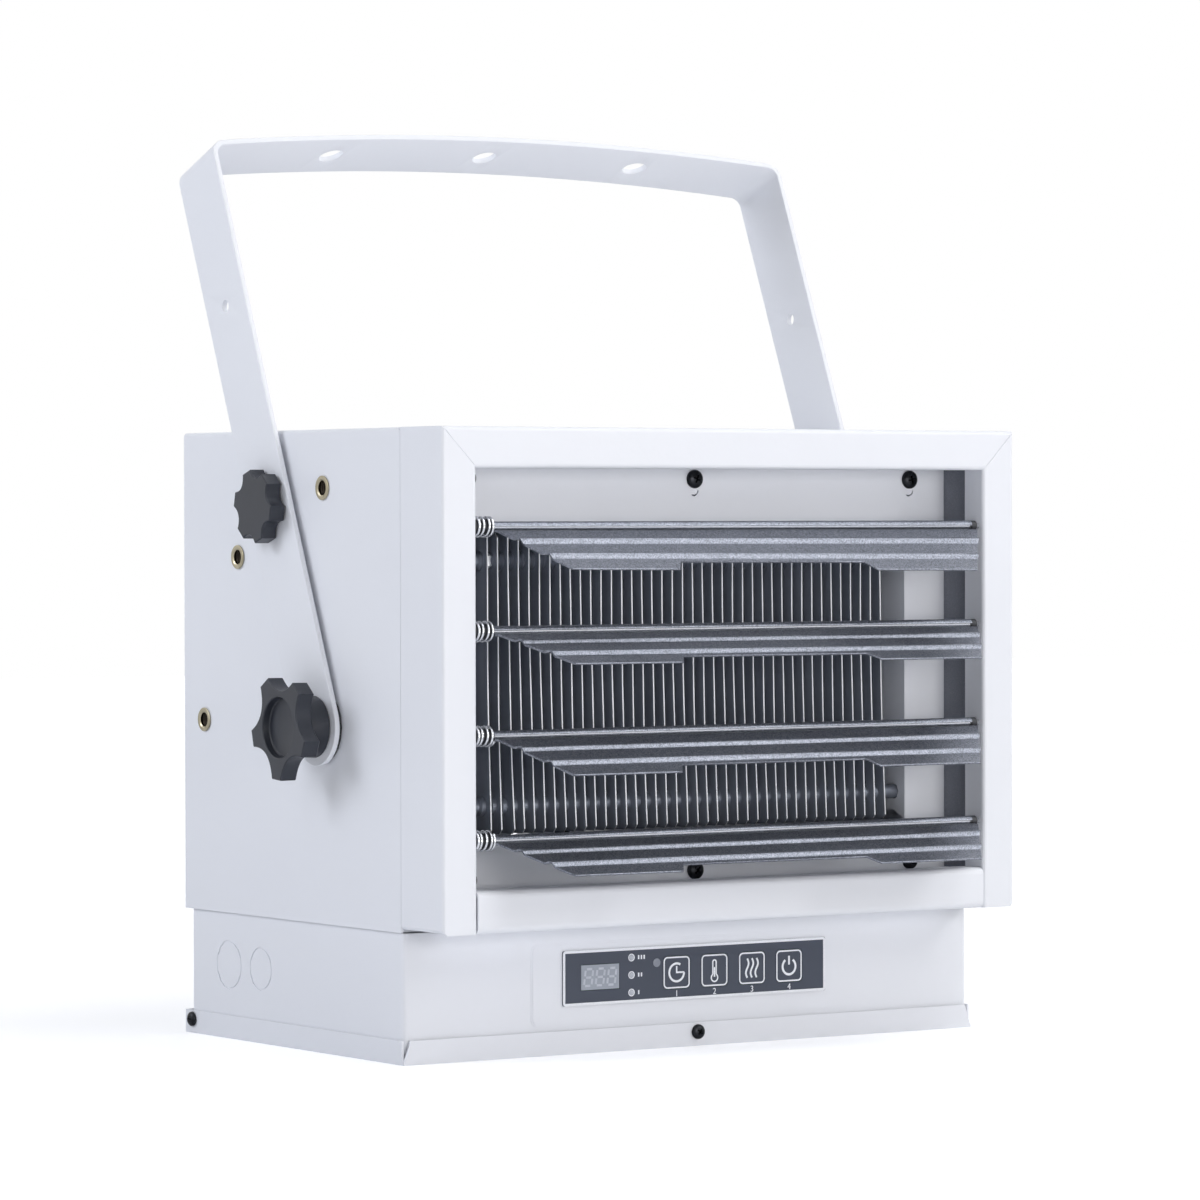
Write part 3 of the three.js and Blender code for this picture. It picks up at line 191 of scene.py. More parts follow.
# Baked polyester powder: satin, with an orange peel of 1.6 mm waves that frays every highlight,
# and wide clouds where the powder lies thicker.
white_powder, tree, shader, place = new_material("white_polyester_powder_coat", "#EAECF1", 0.42)
peel = add_node(tree, "TexNoise", {"Vector": place, "Scale": 310, "Detail": 3})
cloud = add_node(tree, "TexNoise", {"Vector": place, "Scale": 6, "Detail": 1})
tone = add_node(tree, "Mix", {"data_type": "RGBA", 0: cloud, 6: linear("#E7E9EF"), 7: linear("#EDEFF4")})
satin = add_node(tree, "MapRange", {"Value": peel, "To Min": 0.36, "To Max": 0.5})
bump = add_node(tree, "Bump", {"Height": peel, "Strength": 0.35, "Distance": 0.00012})
tree.links.new(tone.outputs[2], shader.inputs["Base Color"])
tree.links.new(satin.outputs["Result"], shader.inputs["Roughness"])
tree.links.new(bump.outputs["Normal"], shader.inputs["Normal"])


def finish_node(node, material):
    """Gives a frame node its material."""
    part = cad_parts[node]
    part.data.materials.clear()
    part.data.materials.append(material)


for node in ("cabinet_shell", "rear_panel", "divider_floor", "bezel_surround", "bezel_bottom_rail",
             "front_baffle", "fan_shroud", "control_box", "bottom_tray"):
    finish_node(node, white_powder)

# ---------------------------------------------------------------- heating element
# Forty thin steel fins are pressed onto two sheathed rods. Heat has dulled the fins. Their front edges are
# bare cut steel, made near-white as a painted highlight. They all lean a little, and a few have been knocked
# askew.

core_low, core_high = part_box("heater_core")
fin_low = core_low.z
fin_high = core_high.z
fin_front = core_low.y
fin_pitch = 0.00656
fin_count = 40
fin_thickness = 0.0007
fin_depth = 0.034
fin_corner = 0.0025
fin_rows = 14
first_fin = -0.1306
fin_crowding = 0.0008
fin_lean = 0.0036
fin_back_lean = 0.15
fin_stray = 0.00022
fin_ripple = 0.00016
fin_knocks = {0: -0.0014, 1: -0.0014, 2: 0.0003, 37: -0.0004, 38: -0.0003}


def make_piece(name, vertices, faces, materials, finishes=None, sharp=35):
    """A mesh piece, smooth but for the edges sharper than an angle, with a finish for each face."""
    mesh = bpy.data.meshes.new(name)
    mesh.from_pydata([tuple(v) for v in vertices], [], faces)
    for material in materials:
        mesh.materials.append(material)
    if finishes:
        mesh.polygons.foreach_set("material_index", finishes)
    mend = bmesh.new()
    mend.from_mesh(mesh)
    bmesh.ops.remove_doubles(mend, verts=mend.verts, dist=1e-7)
    bmesh.ops.dissolve_degenerate(mend, edges=mend.edges, dist=1e-7)
    bmesh.ops.recalc_face_normals(mend, faces=mend.faces)
    mend.to_mesh(mesh)
    mend.free()
    mesh.shade_smooth()
    mesh.set_sharp_from_angle(angle=math.radians(sharp))
    piece = bpy.data.objects.new(name, mesh)
    bpy.context.scene.collection.objects.link(piece)
    return piece


# Mild steel blued by heat: dull slate grey, with soft upright streaks 4 mm by 40 mm.
blued_steel, tree, shader, place = new_material("heat_blued_steel", "#8F949F", 0.45, 0.2)
stretch = add_node(tree, "Mapping", {"Vector": place, "Scale": (125, 125, 12)})
streak = add_node(tree, "TexNoise", {"Vector": stretch.outputs["Vector"], "Scale": 1, "Detail": 3})
tone = add_node(tree, "Mix", {"data_type": "RGBA", 0: streak, 6: linear("#7A808C"), 7: linear("#A6ACB8")})
bump = add_node(tree, "Bump", {"Height": streak, "Strength": 0.3, "Distance": 0.0001})
tree.links.new(tone.outputs[2], shader.inputs["Base Color"])
tree.links.new(bump.outputs["Normal"], shader.inputs["Normal"])

# Bright near-white steel: on the fins' cut edges a painted highlight, broken up by a burr every 2 mm or so.
bright_steel_and_edge_highlight, tree, shader, place = new_material("bright_steel_and_painted_edge_highlight", "#F4F6FA", 0.4, 0.9)
burr = add_node(tree, "TexNoise", {"Vector": place, "Scale": 260, "Detail": 2})
tone = add_node(tree, "Mix", {"data_type": "RGBA", 0: burr, 6: linear("#ECEEF3"), 7: linear("#FFFFFF")})
bump = add_node(tree, "Bump", {"Height": burr, "Strength": 0.4, "Distance": 0.0001})
tree.links.new(tone.outputs[2], shader.inputs["Base Color"])
tree.links.new(bump.outputs["Normal"], shader.inputs["Normal"])


def fin_place(index):
    """Where a fin stands along the rods: the comb is a little tighter in its middle."""
    share = 2 * index / (fin_count - 1) - 1
    return first_fin + fin_pitch * index + fin_crowding * (share ** 2 - 0.6)


def fin_sections(index):
    """Rows of (front edge, middle at the front, middle at the back, height) up one fin."""
    rows = []
    heights = [fin_low + fin_corner + (fin_high - fin_low - 2 * fin_corner) * row / fin_rows
               for row in range(fin_rows + 1)]
    for height in [fin_low] + heights + [fin_high]:
        corner = fin_corner if height in (fin_low, fin_high) else 0
        drop = (fin_high - height) / (fin_high - fin_low)
        knock = fin_knocks.get(index, fin_stray * math.sin(index * 12.9))
        ripple = fin_ripple * math.sin(index * 5.3 + drop * 9)
        lean = fin_lean * drop ** 2 + knock * drop ** 1.5 + ripple
        middle = fin_place(index)
        rows.append((fin_front + corner, middle + lean, middle + fin_back_lean * lean, height))
    return rows


def build_fins():
    """All fins as one piece, with the near-white painted highlight on their front edges alone."""
    vertices = []
    faces = []
    finishes = []
    half = fin_thickness / 2
    for index in range(fin_count):
        base = len(vertices)
        sections = fin_sections(index)
        for front, at_front, at_back, height in sections:
            vertices += [(at_front - half, front, height), (at_front + half, front, height),
                         (at_back + half, fin_front + fin_depth, height),
                         (at_back - half, fin_front + fin_depth, height)]
        for row in range(len(sections) - 1):
            a = base + 4 * row
            for k in range(4):
                faces.append((a + k, a + (k + 1) % 4, a + 4 + (k + 1) % 4, a + 4 + k))
                finishes.append(1 if k == 0 else 0)
        last = base + 4 * (len(sections) - 1)
        faces += [(base, base + 3, base + 2, base + 1), (last, last + 1, last + 2, last + 3)]
        finishes += [0, 0]
    return make_piece("fins", vertices, faces, [blued_steel, bright_steel_and_edge_highlight], finishes)


fins = build_fins()
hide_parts("heater_core")
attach(fins, "cabinet")


def skin(loops, capped=True):
    """Vertices and faces of a skin through closed loops that have the same number of points."""
    sides = len(loops[0])
    vertices = [point for loop in loops for point in loop]
    faces = []
    for i in range(len(loops) - 1):
        for k in range(sides):
            after = (k + 1) % sides
            faces.append((i * sides + k, i * sides + after, (i + 1) * sides + after, (i + 1) * sides + k))
    if capped:
        faces.append(tuple(range(sides - 1, -1, -1)))
        faces.append(tuple(range((len(loops) - 1) * sides, len(loops) * sides)))
    return vertices, faces


def turn_piece(name, profile, origin, axis, material, sides=32, ring=False):
    """A turned piece, or a ring: (radius, distance along the axis) pairs from an origin."""
    aim = Vector((0, 0, 1)).rotation_difference(Vector(axis)).to_matrix()
    angles = [2 * math.pi * k / sides for k in range(sides)]
    loops = []
    for radius, along in (profile + profile[:1] if ring else profile):
        loops.append([Vector(origin) + aim @ Vector((radius * math.cos(a), radius * math.sin(a), along))
                      for a in angles])
    vertices, faces = skin(loops, capped=not ring)
    return make_piece(name, vertices, faces, [material])


# Stainless sheath, stained in wide patches by the heat: half dull, so that the lamps show in it as
# soft dots between the fins.
sheath_steel, tree, shader, place = new_material("stained_stainless_sheath", "#8D929C", 0.38, 0.8)
stain = add_node(tree, "TexNoise", {"Vector": place, "Scale": 28, "Detail": 2})
tone = add_node(tree, "Mix", {"data_type": "RGBA", 0: stain, 6: linear("#6B707B"), 7: linear("#A6ABB6")})
tree.links.new(tone.outputs[2], shader.inputs["Base Color"])

rod_radius = 0.004
rod_setback = 0.0085
rod_inset = 0.0147
collar_radius = 0.0054
collar_reach = 0.0012
terminal_length = 0.005

rod_length = core_high.x - core_low.x
for label, height in (("upper", fin_high - rod_inset), ("lower", fin_low + rod_inset)):
    profile = [(0, 0), (rod_radius / 2, 0), (rod_radius / 2, terminal_length), (rod_radius, terminal_length)]
    for index in range(fin_count):
        at = fin_place(index) - core_low.x
        profile += [(rod_radius, at - 2 * collar_reach), (collar_radius, at - collar_reach),
                    (collar_radius, at + collar_reach), (rod_radius, at + 2 * collar_reach)]
    profile += [(rod_radius, rod_length - terminal_length), (rod_radius / 2, rod_length - terminal_length),
                (rod_radius / 2, rod_length), (0, rod_length)]
    rod = turn_piece(f"heating_rod_{label}", profile, (core_low.x, fin_front + rod_setback, height),
                     (1, 0, 0), sheath_steel, sides=20)
    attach(rod, "cabinet")

# A hexagonal nut, clinched on the upper rod between the first two fins.
nut_bore = 0.0042
nut_radius = 0.0053
nut_length = 0.0026
nut_edge = 0.0003
nut_x = -0.1275
nut = turn_piece("rod_nut", [
    (nut_bore, 0), (nut_radius - 0.0002, 0), (nut_radius, nut_edge), (nut_radius, nut_length - nut_edge),
    (nut_radius - 0.0002, nut_length), (nut_bore, nut_length),
], (nut_x, fin_front + rod_setback, fin_high - rod_inset), (1, 0, 0), bright_steel_and_edge_highlight, sides=6, ring=True)
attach(nut, "cabinet")

# ---------------------------------------------------------------- fan, motor and guard
# A moulded five-blade fan turns on the shaft of a closed motor, which a bent strap carries across
# the air intake. A welded and dipped wire guard covers the intake from behind.

# Glass-filled nylon: dull black, with a moulded grain under half a millimetre.
black_nylon, tree, shader, place = new_material("moulded_black_nylon", "#2A2C31", 0.5)
grain = add_node(tree, "TexNoise", {"Vector": place, "Scale": 1300, "Detail": 2})
dull = add_node(tree, "MapRange", {"Value": grain, "To Min": 0.42, "To Max": 0.6})
bump = add_node(tree, "Bump", {"Height": grain, "Strength": 0.3, "Distance": 0.00006})
tree.links.new(dull.outputs["Result"], shader.inputs["Roughness"])
tree.links.new(bump.outputs["Normal"], shader.inputs["Normal"])

# Hammer enamel with aluminium: grey, with a dimpled sheen of 3 mm cells.
hammer_enamel, tree, shader, place = new_material("grey_hammer_enamel", "#8D9096", 0.4, 0.5)
dimple = add_node(tree, "TexVoronoi", {"Vector": place, "Scale": 330})
bump = add_node(tree, "Bump", {"Height": dimple.outputs["Distance"], "Strength": 0.4, "Distance": 0.0002})
tree.links.new(bump.outputs["Normal"], shader.inputs["Normal"])

# Hot-dip galvanised sheet: bright grey, with a spangle of 12 mm crystals.
galvanised, tree, shader, place = new_material("galvanised_sheet", "#AEB2B7", 0.35, 1.0)
spangle = add_node(tree, "TexVoronoi", {"Vector": place, "Scale": 85})
tone = add_node(tree, "Mix", {"data_type": "RGBA", 0: spangle.outputs["Color"], 6: linear("#9FA4AA"),
                              7: linear("#C6C9CD")})
tree.links.new(tone.outputs[2], shader.inputs["Base Color"])
finish_node("motor_bracket", galvanised)

# Dip coating on the wire guard: thick, glossy black plastic with slow runs.
dip_coat, tree, shader, place = new_material("black_dip_coating", "#1C1D20", 0.32)
runs = add_node(tree, "TexNoise", {"Vector": place, "Scale": 120, "Detail": 1})
bump = add_node(tree, "Bump", {"Height": runs, "Strength": 0.3, "Distance": 0.0002})
tree.links.new(bump.outputs["Normal"], shader.inputs["Normal"])

fan_place = Vector((0, 0.030, 0.198))
fan_radius = 0.090
hub_radius = 0.022
hub_half = 0.011
shaft_radius = 0.004
shaft_length = 0.019
blade_count = 5
root_chord = 0.034
tip_chord = 0.060
root_pitch = 24
tip_pitch = 13
blade_camber = 0.0032
blade_sheet_half = 0.0008
tip_rounding = 0.006
blade_root = hub_radius - 0.002


def fan_blade(number):
    """Loops of a fan blade from root to tip: it widens, flattens and keeps a slight camber."""
    loops = []
    spread = Matrix.Rotation(2 * math.pi * number / blade_count, 3, "Y")
    for i in range(13):
        t = i / 12
        chord = root_chord + (tip_chord - root_chord) * t
        pitch = math.radians(root_pitch + (tip_pitch - root_pitch) * t)
        loop = []
        for side in (1, -1):
            for k in range(13):
                across = side * (k / 12 - 0.5)
                edge = math.sqrt(max(0, 1 - (2 * abs(across)) ** 6))
                lift = blade_camber * (1 - 4 * across * across) + side * blade_sheet_half * edge
                radius = blade_root + t * (fan_radius - blade_root) - tip_rounding * t * across * across
                point = Vector((radius, lift * math.cos(pitch) + across * chord * math.sin(pitch),
                                across * chord * math.cos(pitch) - lift * math.sin(pitch)))
                loop.append(fan_place + spread @ point)
        loops.append(loop)
    return loops


fan_hub = turn_piece("fan_hub", [
    (0, -hub_half), (0.012, -hub_half), (0.0155, 0.0006 - hub_half), (0.0195, 0.0024 - hub_half),
    (0.0216, 0.0046 - hub_half), (hub_radius, 0.0065 - hub_half), (hub_radius, hub_half),
    (shaft_radius, hub_half), (shaft_radius, hub_half + shaft_length), (0, hub_half + shaft_length),
], fan_place, (0, 1, 0), black_nylon, sides=40)
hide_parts("fan_wheel")
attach(fan_hub, "fan")
for number in range(blade_count):
    vertices, faces = skin(fan_blade(number))
    blade = make_piece(f"fan_blade_{number + 1}", vertices, faces, [black_nylon])
    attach(blade, "fan")

motor_low, motor_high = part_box("fan_motor")
motor_radius = (motor_high.x - motor_low.x) / 2
motor_length = motor_high.y - motor_low.y
bearing_bore = 0.0044
bearing_depth = 0.012
bearing_radius = 0.0124
bearing_rise = 0.004
groove_depth = 0.0007
motor_profile = [(0, bearing_depth), (bearing_bore, bearing_depth), (bearing_bore, 0), (bearing_radius, 0),
                 (bearing_radius, bearing_rise), (motor_radius - 0.006, bearing_rise),
                 (motor_radius - 0.001, 0.0075), (motor_radius, 0.0095)]
for groove in (0.013, 0.0155, 0.018):
    motor_profile += [(motor_radius, groove), (motor_radius - groove_depth, groove + 0.0005),
                      (motor_radius - groove_depth, groove + 0.0012), (motor_radius, groove + 0.0017)]
motor_profile += [(motor_radius, motor_length - 0.007), (motor_radius - 0.002, motor_length - 0.0025),
                  (motor_radius - 0.006, motor_length), (0, motor_length)]
motor = turn_piece("fan_motor_can", motor_profile, (0, motor_low.y, fan_place.z), (0, 1, 0),
                   hammer_enamel, sides=56)
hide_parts("fan_motor")
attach(motor, "cabinet")


def bend_wire(name, points, radius, closed, material):
    """A round wire along its points."""
    curve = bpy.data.curves.new(name, "CURVE")
    curve.dimensions = "3D"
    curve.bevel_depth = radius
    curve.bevel_resolution = 3
    curve.use_fill_caps = True
    spline = curve.splines.new("POLY")
    spline.points.add(len(points) - 1)
    for knot, point in zip(spline.points, points):
        knot.co = (*point, 1)
    spline.use_cyclic_u = closed
    spline.use_smooth = True
    curve.materials.append(material)
    wire = bpy.data.objects.new(name, curve)
    bpy.context.scene.collection.objects.link(wire)
    return wire


guard_low, guard_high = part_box("rear_guard")
guard_y = (guard_low.y + guard_high.y) / 2
guard_wire = 0.0011
guard_radius = 0.106
guard_centre = 0.016
guard_disc = 0.0155
guard_disc_edge = 0.0004
spoke_overhang = 0.0035
ring_count = 9
spoke_count = 8
guard = [turn_piece("guard_centre", [
    (0, -guard_wire), (guard_disc - 0.002, -guard_wire), (guard_disc, -guard_disc_edge),
    (guard_disc, guard_disc_edge), (guard_disc - 0.002, guard_wire), (0, guard_wire),
], (0, guard_y, fan_place.z), (0, 1, 0), dip_coat, sides=48)]
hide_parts("rear_guard")
for i in range(ring_count):
    radius = guard_centre + (guard_radius - guard_centre) * i / (ring_count - 1)
    angles = [2 * math.pi * k / 96 for k in range(96)]
    points = [(radius * math.cos(a), guard_y, fan_place.z + radius * math.sin(a)) for a in angles]
    guard.append(bend_wire(f"guard_ring_{i + 1}", points, guard_wire, True, dip_coat))
for i in range(spoke_count):
    angle = 2 * math.pi * (i + 0.5) / spoke_count
    points = [(r * math.cos(angle), guard_y, fan_place.z + r * math.sin(angle))
              for r in (guard_centre, guard_radius / 2, guard_radius + spoke_overhang)]
    guard.append(bend_wire(f"guard_spoke_{i + 1}", points, guard_wire, False, dip_coat))
for piece in guard:
    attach(piece, "cabinet")

finish_node("thermal_cutout", black_nylon)

# ---------------------------------------------------------------- screws
# Six truss-head screws hold the baffle, and three pan-head screws the tray. They are steel with
# black oxide, and each has a cross recess pressed in its head.

# Black oxide: a thin dark skin on steel, oily, with paler rubbed patches of 2 mm.
black_oxide, tree, shader, place = new_material("black_oxide_steel", "#1B1C1F", 0.36, 0.8)
rub = add_node(tree, "TexNoise", {"Vector": place, "Scale": 260, "Detail": 2})
tone = add_node(tree, "Mix", {"data_type": "RGBA", 0: rub, 6: linear("#121315"), 7: linear("#33353A")})
tree.links.new(tone.outputs[2], shader.inputs["Base Color"])


def cut_away(piece, cutters, bevel=0.0):
    """Cuts other pieces out of a piece, and breaks the edges that are left."""
    for cutter in cutters:
        carve = piece.modifiers.new(cutter.name, "BOOLEAN")
        carve.operation = "DIFFERENCE"
        carve.solver = "EXACT"
        carve.object = cutter
    if bevel:
        broken = piece.modifiers.new("broken_edges", "BEVEL")
        broken.width = bevel
        broken.segments = 2
        broken.limit_method = "ANGLE"
        broken.angle_limit = math.radians(40)
    scene_state = bpy.context.evaluated_depsgraph_get()
    mesh = bpy.data.meshes.new_from_object(piece.evaluated_get(scene_state))
    piece.modifiers.clear()
    piece.data = mesh
    for cutter in cutters:
        bpy.data.objects.remove(cutter)
    mesh.shade_smooth()
    mesh.set_sharp_from_angle(angle=math.radians(35))


screw_seat = 0.0003
screw_shank = 0.0017
shank_length = 0.006
cross_reach = 0.52
cross_half = 0.11


def make_screw(name, head_radius, head_height, place):
    """A domed screw on +Z with a cross recess, moved to its place."""
    profile = [(0, -shank_length), (0.0014, -shank_length), (screw_shank, 0.0005 - shank_length),
               (screw_shank, screw_seat), (head_radius, screw_seat)]
    for k in range(8):
        a = math.pi / 2 * k / 7
        profile.append((head_radius * math.cos(a) ** 0.8 if k < 7 else 0,
                        screw_seat + head_height * (0.22 + 0.78 * math.sin(a))))
    screw = turn_piece(name, profile, (0, 0, 0), (0, 0, 1), black_oxide, sides=36)
    wing = head_radius * cross_reach
    slot_half = head_radius * cross_half
    cutters = []
    for number in range(2):
        loops = []
        for height, reach in ((head_height * 0.3, wing * 0.45), (head_height + 0.001, wing * 1.15)):
            corners = [(-reach, -slot_half), (reach, -slot_half), (reach, slot_half), (-reach, slot_half)]
            crossed = corners if number == 0 else [(-y, x) for x, y in corners]
            loops.append([Vector((x, y, height)) for x, y in crossed])
        vertices, faces = skin(loops)
        cutters.append(make_piece(f"{name}_slot_{number}", vertices, faces, [black_oxide]))
    cut_away(screw, cutters)
    screw.data.transform(place)
    return screw


baffle_head_radius = 0.005
tray_head_radius = 0.004
dome_share = 0.6
screw_nodes = sorted(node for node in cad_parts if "_screw_" in node)
for number, node in enumerate(screw_nodes):
    low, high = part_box(node)
    middle = (low + high) / 2
    head = baffle_head_radius if node.startswith("baffle") else tray_head_radius
    rise = screw_seat + dome_share * head
    if node == "tray_screw_left":
        spot = Matrix.Translation((low.x + rise, middle.y, middle.z)) @ Matrix.Rotation(-math.pi / 2, 4, "Y")
    elif node == "tray_screw_right":
        spot = Matrix.Translation((high.x - rise, middle.y, middle.z)) @ Matrix.Rotation(math.pi / 2, 4, "Y")
    else:
        spot = Matrix.Translation((middle.x, low.y + rise, middle.z)) @ Matrix.Rotation(math.pi / 2, 4, "X")
    # Each screw was driven home at its own angle.
    twist = Matrix.Rotation(math.radians(10 + 37 * number), 4, "Z")
    screw = make_screw(f"{node}_head", head, dome_share * head, spot @ twist)
    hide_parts(node)
    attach(screw, "cabinet")

# ---------------------------------------------------------------- painted shade strips
# Painted shade: strips of dark grey, 0.3 mm thick, laid along the inner sides of the baffle where the bezel
# shades them, so the window ends in a dark line on either side.

# Matt mid grey, mottled in cells of 0.6 mm: the painted shade on the baffle's side flanges.
shade_strip_finish, tree, shader, place = new_material("dark_strip_painted_shade", "#787B83", 0.8)
shade_strip_mottle = add_node(tree, "TexVoronoi", {"Vector": place, "Scale": 1600})
tone = add_node(tree, "Mix", {"data_type": "RGBA", 0: shade_strip_mottle.outputs["Distance"], 6: linear("#70737B"),
                              7: linear("#82858E")})
tree.links.new(tone.outputs[2], shader.inputs["Base Color"])

shade_strip_low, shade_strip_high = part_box("front_baffle")
shade_strip_inset = 0.004
shade_strip_thickness = 0.0003
shade_strip_front = -0.1305
shade_strip_back = -0.1117
flange_x = 0.16848
shade_strip_x = flange_x - shade_strip_thickness
for side in (-1, 1):
    loops = []
    for z in (shade_strip_low.z + shade_strip_inset, shade_strip_high.z - shade_strip_inset):
        corners = ((shade_strip_x, shade_strip_front), (flange_x, shade_strip_front), (flange_x, shade_strip_back), (shade_strip_x, shade_strip_back))
        loops.append([(side * x, y, z) for x, y in corners[::side]])
    vertices, faces = skin(loops)
    shade_strip = make_piece("painted_shade_strip_" + ("left" if side < 0 else "right"), vertices, faces, [shade_strip_finish])
    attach(shade_strip, "cabinet")

# ---------------------------------------------------------------- louvres
# Four blades of painted steel strip. Each is rolled round its hinge pin along its upper edge, has
# two pressed beads that stiffen it, is cut back at both ends, and is notched in its middle. A coil
# spring on a nylon sleeve holds it at its left end, and a nylon bush at its right end.

louvre_tilts = (57.6, 66.7, 62.2, 65.6)
louvre_twists = (2.0, 0.9, 0.6, 0.9)
louvre_middle = 0.00515
louvre_half = 0.15715
louvre_y = -0.147
louvre_heights = (0.2784, 0.2246, 0.1708, 0.1170)
blade_chord = 0.0430
blade_half = 0.00055
roll_radius = 0.0022
neck_end = 0.0048
bead_places = (0.0154, 0.0302)
bead_width = 0.0056
bead_height = 0.0019
end_cut = 0.0264
end_cut_start = 0.00275
end_cut_run = blade_chord - 0.00175
roll_stop = 0.0038
notch_half = 0.0595
notch_slope = 0.00465
notch_depth = 0.0076
foot_start = bead_places[1] + bead_width / 2

# Graphite enamel with aluminium flake, drawn 0.5 mm across so that it shows: it sparkles along the
# bright bands, and goes from near black to mid grey as the sheet turns.
flake_enamel, tree, shader, place = new_material("graphite_flake_enamel", "#6A6E79", 0.37, 0.8)
flake = add_node(tree, "TexVoronoi", {"Vector": place, "Scale": 2000})
sparkle = add_node(tree, "Mix", {"data_type": "RGBA", 0: flake.outputs["Color"], 6: linear("#4A4E57"),
                                 7: linear("#9B9FAA")})
bump = add_node(tree, "Bump", {"Height": flake.outputs["Distance"], "Strength": 0.5, "Distance": 0.0001})
tree.links.new(sparkle.outputs[2], shader.inputs["Base Color"])
tree.links.new(bump.outputs["Normal"], shader.inputs["Normal"])

# Nickel-plated wire: bright and nearly mirror smooth, with faint drawing lines.
nickel_wire, tree, shader, place = new_material("nickel_plated_wire", "#E4E6EA", 0.22, 0.85)
drawn = add_node(tree, "TexNoise", {"Vector": place, "Scale": 900, "Detail": 1})
polish = add_node(tree, "MapRange", {"Value": drawn, "To Min": 0.1, "To Max": 0.26})
tree.links.new(polish.outputs["Result"], shader.inputs["Roughness"])


def strip_midline():
    """(ahead, down, distance) along the strip, from the end of its roll to its foot."""
    points = []
    for k in range(25):
        angle = math.radians(235 - 270 * k / 24)
        points.append((-roll_radius * math.cos(angle), -roll_radius * math.sin(angle), 0.0))
    points += [(-0.00125, 0.0022, 0.0), (-0.0007, 0.0031, 0.0), (-0.0002, 0.0039, 0.0)]
    for k in range(61):
        distance = neck_end + (blade_chord - neck_end) * k / 60
        rise = 0.0
        for bead in bead_places:
            offset = (distance - bead) / (bead_width / 2)
            if abs(offset) < 1:
                rise += bead_height * (1 + math.cos(math.pi * offset)) / 2
        points.append((rise, distance, distance))
    return points


def strip_section():
    """The closed outline of the strip: its front from roll to foot, round the foot, and its back."""
    midline = strip_midline()
    front = []
    back = []
    for i, (ahead, down, distance) in enumerate(midline):
        before = midline[max(i - 1, 0)]
        after = midline[min(i + 1, len(midline) - 1)]
        along = Vector((after[0] - before[0], after[1] - before[1])).normalized() * blade_half
        front.append((ahead + along.y, down - along.x, distance))
        back.append((ahead - along.y, down + along.x, distance))
    ahead, down, distance = midline[-1]
    foot = []
    for k in range(1, 6):
        a = math.pi * k / 6
        foot.append((ahead + blade_half * math.cos(a), down + blade_half * (math.sin(a) - 1), distance))
    return front[:-1] + foot + back[:-1][::-1]


def foot_reach(x):
    """How far down the strip reaches at a place along it: less inside the notch."""
    share = min(max((abs(x) - notch_half) / notch_slope, 0), 1)
    return blade_chord - notch_depth * (1 - share)


def blade_columns():
    """Places along the blade where its section is drawn: its ends, and round the notch."""
    slopes = [notch_half + notch_slope * k / 4 for k in range(5)]
    one_side = [0.0, 0.03] + slopes + [0.0665, 0.095, 0.125]
    return [-louvre_half] + [-x for x in reversed(one_side[1:])] + one_side + [louvre_half]


def build_blade(name, twist):
    """A blade that hangs from its pin and is twisted by up to two degrees towards either end."""
    section = strip_section()
    sides = len(section)
    columns = blade_columns()
    loops = []
    for x in columns:
        missing = blade_chord - foot_reach(x)
        sway = Matrix.Rotation(math.radians(twist) * x / louvre_half, 3, "X")
        loop = []
        for ahead, down, distance in section:
            lift = missing * max(distance - foot_start, 0) / (blade_chord - foot_start)
            at = x
            if abs(x) == louvre_half:
                cut = end_cut * min(max((distance - end_cut_start) / end_cut_run, 0), 1)
                at = x - math.copysign(cut, x) - (roll_stop if x > 0 and distance == 0 else 0)
            loop.append(sway @ Vector((at, -ahead, lift - down)))
        loops.append(loop)
    vertices, faces = skin(loops, capped=False)
    turn_back = sides // 2 - 1
    for base in (0, (len(loops) - 1) * sides):
        for k in range(turn_back):
            faces.append((base + k, base + k + 1, base + sides - 2 - k, base + sides - 1 - k))
        faces.append((base + turn_back, base + turn_back + 1, base + turn_back + 2))
    return make_piece(name, vertices, faces, [flake_enamel], sharp=50)


